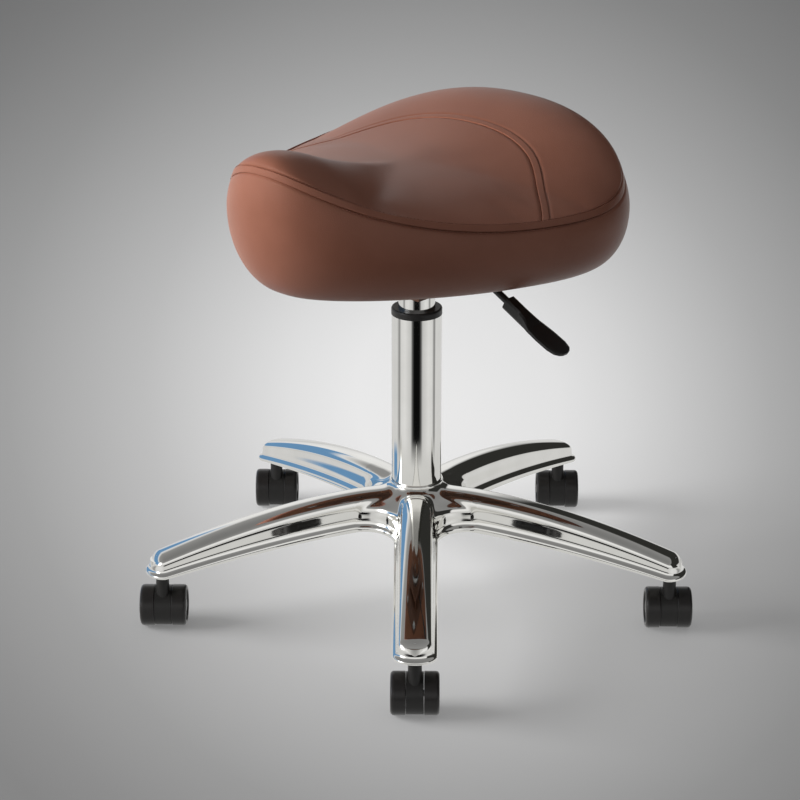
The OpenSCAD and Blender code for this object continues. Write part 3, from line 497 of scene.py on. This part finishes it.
def starOutline():
    # Half of one arm's outline from the middle of the web to the tip: places and outward directions in plan
    webAngles = np.linspace(1.5 * math.pi, math.pi + halfStep, star["webRows"])[::-1]
    ways = np.stack([np.cos(webAngles), np.sin(webAngles)], -1)
    sideX = np.linspace(webStart, star["stemCircle"], star["sideRows"])[1:]
    sideRun = (sideX - webStart) / (star["stemCircle"] - webStart)
    sideY = star["rootHalf"] + (star["tipHalf"] - star["rootHalf"]) * sideRun
    tipAngles = np.linspace(0, math.pi / 2, star["tipRows"])[1:]
    tipX = star["stemCircle"] + star["tipLength"] * np.sin(tipAngles)
    tipPlaces = np.stack([tipX, star["tipHalf"] * np.cos(tipAngles)], -1)
    tipWays = unit(np.stack([np.sin(tipAngles) / star["tipLength"], np.cos(tipAngles) / star["tipHalf"]], -1))
    places = np.concatenate([webCentre + ways * star["webRadius"], np.stack([sideX, sideY], -1), tipPlaces])
    outward = np.concatenate([-ways, np.tile([0.0, 1.0], (len(sideX), 1)), tipWays])
    return places, outward, len(webAngles), len(sideX)


def domeHeight(share):
    shares, heights = zip(*domeShape)
    return np.interp(share, list(shares) + [1.02], list(heights) + [-0.6])


def armHeight(x, y, half):
    low, high = lipHeight(x), ridgeHeight(x)
    return low + (high - low) * domeHeight(np.abs(y) / half)


def hubHeight(x, y):
    # the funnel's shoulder turns down into a wall that follows the web, and fades out along the arms
    radius = np.hypot(x, y)
    toWeb = np.hypot(x - webCentre[0], np.abs(y) - webCentre[1]) - star["webRadius"]
    inside = np.minimum(toWeb, star["hubReach"] - radius)
    funnel = np.interp(radius, *zip(*funnelShape))
    return star["rootLow"] + (funnel - star["rootLow"]) * domeHeight(1 - np.minimum(inside / star["rootHalf"], 1))


def smoothMax(first, second):
    share = np.clip(0.5 + 0.5 * (first - second) / star["blend"], 0, 1)
    return second + (first - second) * share + star["blend"] * share * (1 - share)


def rootHeight(x, y):
    # the arms' ridges come out of the funnel's foot
    return smoothMax(armHeight(x, y, star["rootHalf"]), hubHeight(x, y))


def starSheet():
    # Rows of half an arm's upper skin: the root, the arm and its tip, and the lip round them
    places, outward, webCount, sideCount = starOutline()
    lipWidth = (1 - star["footShare"]) * star["rootHalf"]
    foot = places - outward * lipWidth
    shares = np.array([share for share, _ in domeShape])
    section = np.stack([np.full(len(shares), webStart), shares * star["rootHalf"]], -1)
    border = np.concatenate([section, foot[:webCount][::-1][1:]])
    border[len(shares) - 1] = foot[webCount - 1]
    start = unit(border) * star["mouth"]
    root = start[None] + (border - start)[None] * np.array(rootRows)[:, None, None]
    rootPoints = np.concatenate([root, rootHeight(root[..., 0], root[..., 1])[..., None]], -1)
    armRows = []
    for x, footY in foot[webCount - 1:webCount + sideCount]:
        y = shares / star["footShare"] * footY
        near = 1 - smoothStep((x - webStart) / star["rootFade"])
        rootY = shares * star["rootHalf"]
        joined = rootHeight(webStart, rootY) - armHeight(webStart, rootY, star["rootHalf"])
        height = armHeight(x, y, footY / star["footShare"]) + joined * near
        armRows.append(np.stack([np.full(len(y), x), y, height], -1))
    tipRows = [armRows[-1]]
    slope = ridgeHeight(star["stemCircle"] + 0.5) - ridgeHeight(star["stemCircle"] - 0.5)
    for footX, footY in foot[webCount + sideCount:]:
        share = shares / star["footShare"]
        x = star["stemCircle"] + (footX - star["stemCircle"]) * share
        turned = (footX - star["stemCircle"]) / (foot[-1, 0] - star["stemCircle"])
        sides = domeHeight(shares)
        nose = star["noseLow"] + (1 - star["noseLow"]) * np.sqrt(1 - np.clip(share, 0, 1) ** star["nosePower"])
        profile = sides + (nose - sides) * turned ** 2
        height = star["tipLow"] + star["tipHeight"] * profile + slope * (x - star["stemCircle"]) * profile
        tipRows.append(np.stack([x, footY * share, height], -1))
    footHeights = np.concatenate([rootPoints[-1, len(shares) - 1:, 2][::-1], [row[-1, 2] for row in armRows[1:]],
                                  [row[-1, 2] for row in tipRows[1:]]])
    low = lipHeight(np.minimum(places[:, 0], star["stemCircle"]))
    lipRows = [np.concatenate([foot + outward * lipWidth * across, (low + (footHeights - low) * height)[:, None]], -1)
               for across, height in lipShape]
    return [rootPoints, np.stack(armRows), np.stack(tipRows), np.stack(lipRows)]


def gridFaces(grid, start):
    rows, columns = grid.shape[:2]
    corners = [start + i * columns + j for i in range(rows - 1) for j in range(columns - 1)]
    return [[k, k + 1, k + columns + 1, k + columns] for k in corners]


def spinAround(points, angle):
    c, s = math.cos(angle), math.sin(angle)
    return np.stack([points[:, 0] * c - points[:, 1] * s, points[:, 0] * s + points[:, 1] * c, points[:, 2]], -1)


def eachArm(points, faces):
    # the same points and faces repeated round the hub, one set to each arm
    angles = math.radians(star["turn"]) + 2 * halfStep * np.arange(star["arms"])
    allPoints = np.concatenate([spinAround(points, angle) for angle in angles])
    return allPoints, [[k + arm * len(points) for k in face] for arm in range(star["arms"]) for face in faces]


def mergeClose(piece, gap=0.02):
    makeActive(piece)
    bpy.ops.object.mode_set(mode="EDIT")
    bpy.ops.mesh.select_all(action="SELECT")
    bpy.ops.mesh.remove_doubles(threshold=gap * mm)
    bpy.ops.mesh.normals_make_consistent(inside=False)
    bpy.ops.object.mode_set(mode="OBJECT")


def joinPieces(first, others):
    clearSelection()
    for piece in others:
        piece.select_set(True)
    first.select_set(True)
    bpy.context.view_layer.objects.active = first
    bpy.ops.object.join()
    return first


def latheShape(outline, steps=64, middle=(0, 0)):
    # points and faces of a closed outline of radius and height, spun about an upright axis
    outline = np.array(outline, float)
    count = len(outline)
    angles = np.linspace(0, 2 * math.pi, steps, endpoint=False)
    radius, height = outline.T
    points = [np.stack([middle[0] + radius * math.cos(a), middle[1] + radius * math.sin(a), height], -1)
              for a in angles]
    numbers = [[i * count + j for j in range(count)] for i in range(steps)]
    faces = [face for i in range(steps) for face in bridgeRows(numbers[i], numbers[(i + 1) % steps])]
    return np.concatenate(points), faces


def sharpen(piece, degrees=32):
    makeActive(piece)
    bpy.ops.object.shade_smooth_by_angle(angle=math.radians(degrees))
    return piece


def ribShape(x):
    # one cross wall under an arm, its edge buried in the arm's own wall
    low, high = lipHeight(x), ridgeHeight(x)
    half = [(share * star["rootHalf"] * star["ribFill"], low + (high - low) * height - star["ribGap"])
            for share, height in domeShape[:-2]]
    half.append((half[-1][0], low + star["ribRise"]))
    loop = [(-y, z) for y, z in half[::-1]] + half[1:]
    count = len(loop)
    points = [(x + side * star["ribWall"] / 2, y, z) for side in (-1, 1) for y, z in loop]
    faces = bridgeRows(list(range(count)), list(range(count, 2 * count)))
    return np.array(points), faces + [list(range(count)), list(range(2 * count - 1, count - 1, -1))]


def makeStar():
    points, faces, made = [], [], 0
    for grid in starSheet():
        for mirrored in (1, -1):
            flat = grid.reshape(-1, 3) * [1, mirrored, 1]
            points.append(flat)
            faces += gridFaces(grid, made)
            made += len(flat)
    casting = newPiece("starCasting", *eachArm(np.concatenate(points), faces))
    mergeClose(casting)
    upward = [face.normal.z > 0 for face in casting.data.polygons if face.area > 0]
    if sum(upward) * 2 < len(upward):
        casting.data.flip_normals()
    addModifier(casting, "SUBSURF", levels=1, render_levels=1)
    addModifier(casting, "SOLIDIFY", thickness=star["wall"] * mm, offset=-1, use_rim=True)
    tube, ring, top = star["tubeRadius"], star["ringRadius"], star["hubTop"]
    wide, low = star["sleeveRadius"], star["sleeveLow"]
    sleeve = [(tube, low + 1), (tube + 1, low), (wide - 1, low), (wide, low + 1), (wide, top - 11.5),
              (ring - 1.2, top - 4.2), (ring - 0.2, top - 2.6), (ring, top - 1.5), (ring - 0.3, top - 0.6),
              (ring - 0.9, top), (tube + 0.5, top), (tube, top - 0.5)]
    boss = [(star["boreRadius"], star["bossLow"] + 0.6), (star["boreRadius"] + 0.6, star["bossLow"]),
            (star["bossRadius"] - 0.8, star["bossLow"]), (star["bossRadius"], star["bossLow"] + 0.8),
            (star["bossRadius"], star["bossTop"]), (star["boreRadius"], star["bossTop"])]
    others = [newPiece("hubSleeve", *latheShape(sleeve, 96)),
              newPiece("stemBosses", *eachArm(*latheShape(boss, 40, (star["stemCircle"], 0))))]
    for number, x in enumerate(star["ribs"]):
        others.append(newPiece(f"armRibs{number}", *eachArm(*ribShape(x))))
    joinPieces(casting, others)
    return sharpen(casting)


def finishMaterial(material, shader, **settings):
    for name, value in settings.items():
        shader.inputs[name].default_value = value
    return material


def makeLeather():
    # Brown upholstery leather, corrected grain with a soft finish: fine pebbled grain, a dull even sheen
    material, tree, shader, coords, _ = newMaterial("finishedLeather")
    cloudy = addNode(tree, "TexNoise", {"Vector": (coords, "Object"), "Scale": perMetre(60), "Detail": 3.0})
    tint = addNode(tree, "ValToRGB", {"Fac": (cloudy, "Fac")})
    setRamp(tint, [(0.3, "#80503E"), (0.7, "#8A5947")])
    tree.links.new(tint.outputs["Color"], shader.inputs["Base Color"])
    grain = addNode(tree, "TexVoronoi", {"Vector": (coords, "Object"), "Scale": perMetre(1.6)},
                    feature="DISTANCE_TO_EDGE")
    creases = addNode(tree, "MapRange", {"Value": (grain, "Distance"), "From Max": 0.25})
    pores = addNode(tree, "TexNoise", {"Vector": (coords, "Object"), "Scale": perMetre(0.9), "Detail": 4.0})
    mixed = addNode(tree, "Math", {0: (creases, "Result"), 1: (pores, "Fac")}, operation="ADD")
    bump = addNode(tree, "Bump", {"Height": (mixed, "Value"), "Strength": 0.22, "Distance": 0.0003})
    tree.links.new(bump.outputs["Normal"], shader.inputs["Normal"])
    shine = addNode(tree, "MapRange", {"Value": (cloudy, "Fac"), "To Min": 0.37, "To Max": 0.45})
    tree.links.new(shine.outputs["Result"], shader.inputs["Roughness"])
    return finishMaterial(material, shader, **{"IOR": 1.48, "Specular IOR Level": 0.3})


def makeThread():
    # Twisted polyester sewing thread, a shade lighter than the leather
    material, tree, shader, coords, _ = newMaterial("polyesterThread")
    strands = addNode(tree, "TexNoise", {"Vector": (coords, "Object"), "Scale": perMetre(0.6)})
    tint = addNode(tree, "ValToRGB", {"Fac": (strands, "Fac")})
    setRamp(tint, [(0.35, "#6A4234"), (0.65, "#8A5C4A")])
    tree.links.new(tint.outputs["Color"], shader.inputs["Base Color"])
    return finishMaterial(material, shader, Roughness=0.6)


def makeMetal(name, colour, roughness, spread, size):
    # roughness wanders by spread over patches of the given size, as polishing or rolling leaves it
    material, tree, shader, coords, _ = newMaterial(name)
    patches = addNode(tree, "TexNoise", {"Vector": (coords, "Object"), "Scale": perMetre(size), "Detail": 3.0})
    shine = addNode(tree, "MapRange", {"Value": (patches, "Fac"), "To Min": roughness - spread,
                                       "To Max": roughness + spread})
    tree.links.new(shine.outputs["Result"], shader.inputs["Roughness"])
    tint = addNode(tree, "ValToRGB", {"Fac": (patches, "Fac")})
    setRamp(tint, [(0.35, colour[0]), (0.65, colour[1])])
    tree.links.new(tint.outputs["Color"], shader.inputs["Base Color"])
    return finishMaterial(material, shader, Metallic=1.0)


def makePlastic(name, colour, roughness, grainSize, grainHeight):
    # injection moulded, with the fine texture that a spark-eroded mould gives
    material, tree, shader, coords, _ = newMaterial(name)
    texture = addNode(tree, "TexNoise", {"Vector": (coords, "Object"), "Scale": perMetre(grainSize), "Detail": 2.0})
    tint = addNode(tree, "ValToRGB", {"Fac": (texture, "Fac")})
    setRamp(tint, [(0.3, colour[0]), (0.7, colour[1])])
    tree.links.new(tint.outputs["Color"], shader.inputs["Base Color"])
    shine = addNode(tree, "MapRange", {"Value": (texture, "Fac"), "To Min": roughness - 0.05,
                                       "To Max": roughness + 0.05})
    tree.links.new(shine.outputs["Result"], shader.inputs["Roughness"])
    bump = addNode(tree, "Bump", {"Height": (texture, "Fac"), "Strength": 0.3, "Distance": grainHeight * mm})
    tree.links.new(bump.outputs["Normal"], shader.inputs["Normal"])
    return finishMaterial(material, shader, **{"IOR": 1.5, "Specular IOR Level": 0.3})


def makePlywood():
    # Birch plywood: thin plies of pale wood show as bands along the board's edge
    material, tree, shader, coords, _ = newMaterial("birchPlywood")
    place = addNode(tree, "Mapping", {"Vector": (coords, "Object"), "Scale": (1.0, 0.12, 1.0)})
    fibres = addNode(tree, "TexNoise", {"Vector": (place, "Vector"), "Scale": perMetre(4), "Detail": 5.0})
    plies = addNode(tree, "TexWave", {"Vector": (coords, "Object"), "Scale": perMetre(2.4) / 6.283,
                                      "Distortion": 0.4}, bands_direction="Z")
    both = addNode(tree, "Math", {0: (fibres, "Fac"), 1: (plies, "Fac")}, operation="MULTIPLY")
    tint = addNode(tree, "ValToRGB", {"Fac": (both, "Value")})
    setRamp(tint, [(0.0, "#A98556"), (0.6, "#D2B483")])
    tree.links.new(tint.outputs["Color"], shader.inputs["Base Color"])
    return finishMaterial(material, shader, Roughness=0.65)


def makeCoverCloth():
    # Spunbond dust cover: brown non-woven polypropylene with its grid of small weld points, 2 mm apart
    material, tree, shader, coords, _ = newMaterial("spunbondCloth")
    dots = addNode(tree, "TexVoronoi", {"Vector": (coords, "Object"), "Scale": perMetre(2), "Randomness": 0.0})
    tint = addNode(tree, "ValToRGB", {"Fac": (dots, "Distance")})
    setRamp(tint, [(0.2, "#85583F"), (0.4, "#996850")])
    tree.links.new(tint.outputs["Color"], shader.inputs["Base Color"])
    bump = addNode(tree, "Bump", {"Height": (dots, "Distance"), "Strength": 0.4, "Distance": 0.0003})
    tree.links.new(bump.outputs["Normal"], shader.inputs["Normal"])
    return finishMaterial(material, shader, Roughness=0.85)


leather, thread = makeLeather(), makeThread()
# brown baked enamel on the pressed plate: the chrome below mirrors the whole underside as brown
platePaint = makePlastic("brownEnamel", ("#5E4031", "#6C4A39"), 0.45, 2.5, 0.03)
finishes = {
    # bright nickel and chrome plate over a polished casting or tube: a clear mirror, hardly clouded
    "polished_chrome": makeMetal("chromePlate", ("#E4E3DF", "#E9E8E4"), 0.05, 0.015, 30),
    # clear passivated zinc plate on pressed steel: grey, half dull
    "zinc_steel": makeMetal("zincPlatedSteel", ("#A9ACAE", "#B9BBBD"), 0.34, 0.06, 12),
    # turned brass: warm, with fine tool marks
    "brass_fitting": makeMetal("turnedBrass", ("#B08D4C", "#C3A05C"), 0.28, 0.05, 6),
    # moulded ABS of the grip and the collar, near black, and glass-filled nylon of the casters, a little glossier
    "black_plastic": makePlastic("mouldedAbs", ("#1C1B1A", "#242322"), 0.4, 0.8, 0.04),
    "caster_nylon": makePlastic("mouldedNylon", ("#1D1B1A", "#262423"), 0.3, 0.9, 0.03),
    # moulded rubber: black and dull
    "black_rubber": makePlastic("mouldedRubber", ("#1C1C1C", "#242424"), 0.75, 1.2, 0.08),
    # black electrophoretic paint on bent steel rod
    "black_steel": makePlastic("blackPaintedSteel", ("#1D1D1D", "#262626"), 0.32, 2.5, 0.03),
    "plywood": makePlywood(),
    "backing_cloth": makeCoverCloth(),
    "brown_leather": leather,
}


def dress(piece, material, body):
    piece.data.materials.clear()
    piece.data.materials.append(material)
    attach(piece, body)


print("modelling the seat")
cushion = makeCushion()
dress(cushion, leather, "seat")
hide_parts("seat_cushion")
rimWelt = makeWelt("rimWelt", rimSeam(rimTurns), True)
dress(rimWelt, leather, "seat")
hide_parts("perimeter_welt")
archWelt = makeWelt("archWelt", archSeam(archTurns), False)
dress(archWelt, leather, "seat")
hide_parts("arch_welt")
for name, seam in (("rimStitches", rimSeam(rimTurns)), ("archStitches", archSeam(archTurns))):
    dress(makeStitches(name, seam, (-1, 1)), thread, "seat")

print("modelling the base")
casting = makeStar()
dress(casting, finishes["polished_chrome"], "base")
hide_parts("star_base")

print("finishing the other pieces")
replaced = {"star_base", "seat_cushion", "perimeter_welt", "arch_welt"}
for row in frame["record"]["subparts"]:
    if row["node"] not in replaced:
        part = frame["nodes"][row["node"]]
        part.data.materials.clear()
        part.data.materials.append(platePaint if row["node"] == "seat_plate" else finishes[row["material_slot"]])


# Floor, lamps and the room that the chrome reflects. X runs to the right of the picture and Y away from it.
studio = {"poolMiddle": (-0.055, -0.545), "poolDepth": 3.014, "poolReach": 0.2478, "keyPlace": (-2.6, 0.15, 0.95),
          "keyAim": 0.4, "keyWatts": 121, "keySize": 1.6, "worldGrey": 0.3, "glow": 5,
          "glowWay": (-0.84, 0.42, 0.33), "gapStart": 0.38, "gapFade": 0.08, "gapEnd": 1.0, "paperShare": 0.75,
          "paintedShare": 0.41, "nearReflectionGrey": (0.72, 0.72, 0.71, 1), "reflectedBlue": "#6E9BC6",
          "blueReflectionTurns": (-2.18, 0.04, -1.75), "blueReflectionReach": (0.3, 0.04, 0.4)}
# brightness of the pool of light painted on the floor, outward from its middle
poolStops = [(0, "#EFEFEF"), (0.17, "#ECECEC"), (0.28, "#E0E0E0"), (0.38, "#D0D0D0"), (0.52, "#B8B8B8"),
             (0.62, "#AAAAAA"), (0.75, "#979797"), (0.9, "#878787"), (1, "#7E7E7E")]
# painted reflections: what glossy rays see on the floor in place of its lit colour, round from the camera's side: a
# dark gap, then a bright band with a grey band in it
floorStops = [(0, 0.004), (0.07, 0.006), (0.11, 0.12), (0.15, 0.66), (0.3, 0.86), (0.42, 0.8), (0.465, 0.3),
              (0.5, 0.42), (0.55, 0.76), (1, 0.7)]
# what they see above it, from the horizon to overhead
roomStops = [(0, 0.6), (0.08, 0.82), (0.25, 0.95), (0.46, 0.92), (0.58, 0.32), (1, 0.22)]
# patches in the room: start, fade and end of their angle from the camera and of their height, and their colour
roomPatches = [((-2.85, 0.05, -0.95), (0.1, 0.05, 0.42), studio["reflectedBlue"]),
               ((0.95, 0.1, 2.95), (0.02, 0.04, 0.66), "#30302E")]
# brightness of the glow, by the cosine of the angle to its middle
glowStops = [(0.9, 0), (0.96, 0.08), (0.985, 1)]


def aroundAxis(tree, coords, output):
    # turns a direction or a place on the floor into the picture's own right and away, and gives its angle from
    # the way to the camera
    turned = addNode(tree, "Mapping", {"Vector": (coords, output), "Rotation": (0, 0, -viewTurn)})
    parts = addNode(tree, "SeparateXYZ", {"Vector": (turned, "Vector")})
    toCamera = addNode(tree, "Math", {0: (parts, "Y"), 1: -1.0}, operation="MULTIPLY")
    angle = addNode(tree, "Math", {0: (parts, "X"), 1: (toCamera, "Value")}, operation="ARCTAN2")
    return turned, parts, angle


def band(tree, value, start, fade, end):
    # one where the value lies between start and end, with soft edges
    rise = addNode(tree, "MapRange", {"Value": value, "From Min": start, "From Max": start + fade})
    fall = addNode(tree, "MapRange", {"Value": value, "From Min": end, "From Max": end + fade, "To Min": 1.0,
                                      "To Max": 0.0})
    return addNode(tree, "Math", {0: (rise, "Result"), 1: (fall, "Result")}, operation="MULTIPLY")


def makeStage():
    bpy.ops.mesh.primitive_plane_add(size=24)
    floor = bpy.context.object
    floor.name = "studioFloor"
    material, tree, shader, coords, output = newMaterial("paperFloor")
    floor.data.materials.append(material)
    turned, _, angle = aroundAxis(tree, coords, "Object")
    shifted = addNode(tree, "Mapping", {"Vector": (turned, "Vector"), "Location": (*studio["poolMiddle"], 0)})
    away = addNode(tree, "SeparateXYZ", {"Vector": (shifted, "Vector")})
    depth = addNode(tree, "Math", {0: (away, "Y"), 1: math.cos(viewTilt), 2: studio["poolDepth"]},
                    operation="MULTIPLY_ADD")
    flat = addNode(tree, "Mapping", {"Vector": (shifted, "Vector"), "Scale": (1, math.sin(viewTilt), 0)})
    reach = addNode(tree, "VectorMath", {0: (flat, "Vector")}, operation="LENGTH")
    share = addNode(tree, "Math", {0: (reach, "Value"), 1: (depth, "Value")}, operation="DIVIDE")
    spread = addNode(tree, "MapRange", {"Value": (share, "Value"), "From Max": studio["poolReach"]})
    pool = addNode(tree, "ValToRGB", {"Fac": (spread, "Result")})
    setRamp(pool, poolStops)
    # the pool of light is painted into the paper's colour, and part of it glows from the paper itself for the camera,
    # which keeps the stool's own shadow faint
    dimmed = addNode(tree, "VectorMath", {0: (pool, "Color"), "Scale": studio["paperShare"]}, operation="SCALE")
    tree.links.new(dimmed.outputs["Vector"], shader.inputs["Base Color"])
    finishMaterial(material, shader, **{"Roughness": 0.9, "Specular IOR Level": 0.2})
    painted = addNode(tree, "Emission", {"Color": (pool, "Color"), "Strength": studio["paintedShare"]})
    lit = addNode(tree, "AddShader", {0: (shader, "BSDF"), 1: (painted, "Emission")})
    ray = addNode(tree, "LightPath")
    paper = addNode(tree, "MixShader", {"Fac": (ray, "Is Camera Ray"), 1: (shader, "BSDF"), 2: (lit, "Shader")})
    either = addNode(tree, "Math", {0: (angle, "Value")}, operation="ABSOLUTE")
    turnShare = addNode(tree, "Math", {0: (either, "Value"), 1: math.pi}, operation="DIVIDE")
    reflectionBands = addNode(tree, "ValToRGB", {"Fac": (turnShare, "Value")})
    setRamp(reflectionBands, floorStops)
    # near the stool glossy rays see a painted even grey, and farther out the painted bands
    radius = addNode(tree, "VectorMath", {0: (turned, "Vector")}, operation="LENGTH")
    beyond = band(tree, (radius, "Value"), studio["gapStart"], studio["gapFade"], studio["gapEnd"])
    seen = addNode(tree, "Mix", {"Factor": (beyond, "Value"), "A": studio["nearReflectionGrey"], "B": (reflectionBands, "Color")},
                   data_type="RGBA")
    # a blue patch painted on the floor, which only glossy rays see
    across = band(tree, (angle, "Value"), *studio["blueReflectionTurns"])
    along = band(tree, (radius, "Value"), *studio["blueReflectionReach"])
    blueReflection = addNode(tree, "Math", {0: (across, "Value"), 1: (along, "Value")}, operation="MULTIPLY")
    seen = addNode(tree, "Mix", {"Factor": (blueReflection, "Value"), "A": (seen, "Result"),
                                 "B": toLinear(studio["reflectedBlue"])}, data_type="RGBA")
    # to glossy rays the floor glows with these painted reflection colours instead of showing its lit colour
    glow = addNode(tree, "Emission", {"Color": (seen, "Result")})
    both = addNode(tree, "MixShader", {"Fac": (ray, "Is Glossy Ray"), 1: (paper, "Shader"), 2: (glow, "Emission")})
    tree.links.new(both.outputs["Shader"], output.inputs["Surface"])


def makeLamps():
    right, front, up = studio["keyPlace"]
    bpy.ops.object.light_add(type="AREA", location=rightWay * right + towardCamera * front + Vector((0, 0, up)))
    key = bpy.context.object
    key.name = "keySoftbox"
    key.data.energy = studio["keyWatts"]
    key.data.size = studio["keySize"]
    key.visible_glossy = False
    key.rotation_euler = (Vector((0, 0, studio["keyAim"])) - key.location).to_track_quat("-Z", "Y").to_euler()


def makeRoom():
    # Grey walls light the stool evenly. Glossy rays see brighter walls, with a blue window on the left and a dark
    # flag on the right.
    world = bpy.data.worlds.new("studioRoom")
    bpy.context.scene.world = world
    world.use_nodes = True
    tree = world.node_tree
    tree.nodes.clear()
    coords = addNode(tree, "TexCoord")
    _, parts, angle = aroundAxis(tree, coords, "Generated")
    height = (parts, "Z")
    walls = addNode(tree, "ValToRGB", {"Fac": height})
    setRamp(walls, roomStops)
    colour = (walls, "Color")
    for sides, heights, shade in roomPatches:
        across = band(tree, (angle, "Value"), *sides)
        upward = band(tree, height, *heights)
        where = addNode(tree, "Math", {0: (across, "Value"), 1: (upward, "Value")}, operation="MULTIPLY")
        patch = addNode(tree, "Mix", {"Factor": (where, "Value"), "A": colour, "B": toLinear(shade)},
                        data_type="RGBA")
        colour = (patch, "Result")
    # a round reflector low on the left, near the key light, whose own reflection is switched off
    right, front, up = studio["glowWay"]
    way = (rightWay * right + towardCamera * front + Vector((0, 0, up))).normalized()
    toLamp = addNode(tree, "VectorMath", {0: (coords, "Generated"), 1: tuple(way)}, operation="DOT_PRODUCT")
    lamp = addNode(tree, "ValToRGB", {"Fac": (toLamp, "Value")})
    setRamp(lamp, glowStops)
    glow = addNode(tree, "VectorMath", {0: (lamp, "Color"), "Scale": float(studio["glow"])}, operation="SCALE")
    bright = addNode(tree, "Mix", {"Factor": 1.0, "A": colour, "B": (glow, "Vector")}, data_type="RGBA",
                     blend_type="ADD")
    mirrored = addNode(tree, "Background", {"Color": (bright, "Result")})
    grey = [studio["worldGrey"]] * 3 + [1]
    plain = addNode(tree, "Background", {"Color": grey})
    ray = addNode(tree, "LightPath")
    both = addNode(tree, "MixShader", {"Fac": (ray, "Is Glossy Ray"), 1: (plain, "Background"),
                                       2: (mirrored, "Background")})
    addNode(tree, "OutputWorld", {"Surface": (both, "Shader")})


placeCamera()
makeStage()
makeLamps()
makeRoom()
bpy.context.scene.view_settings.view_transform = "Standard"
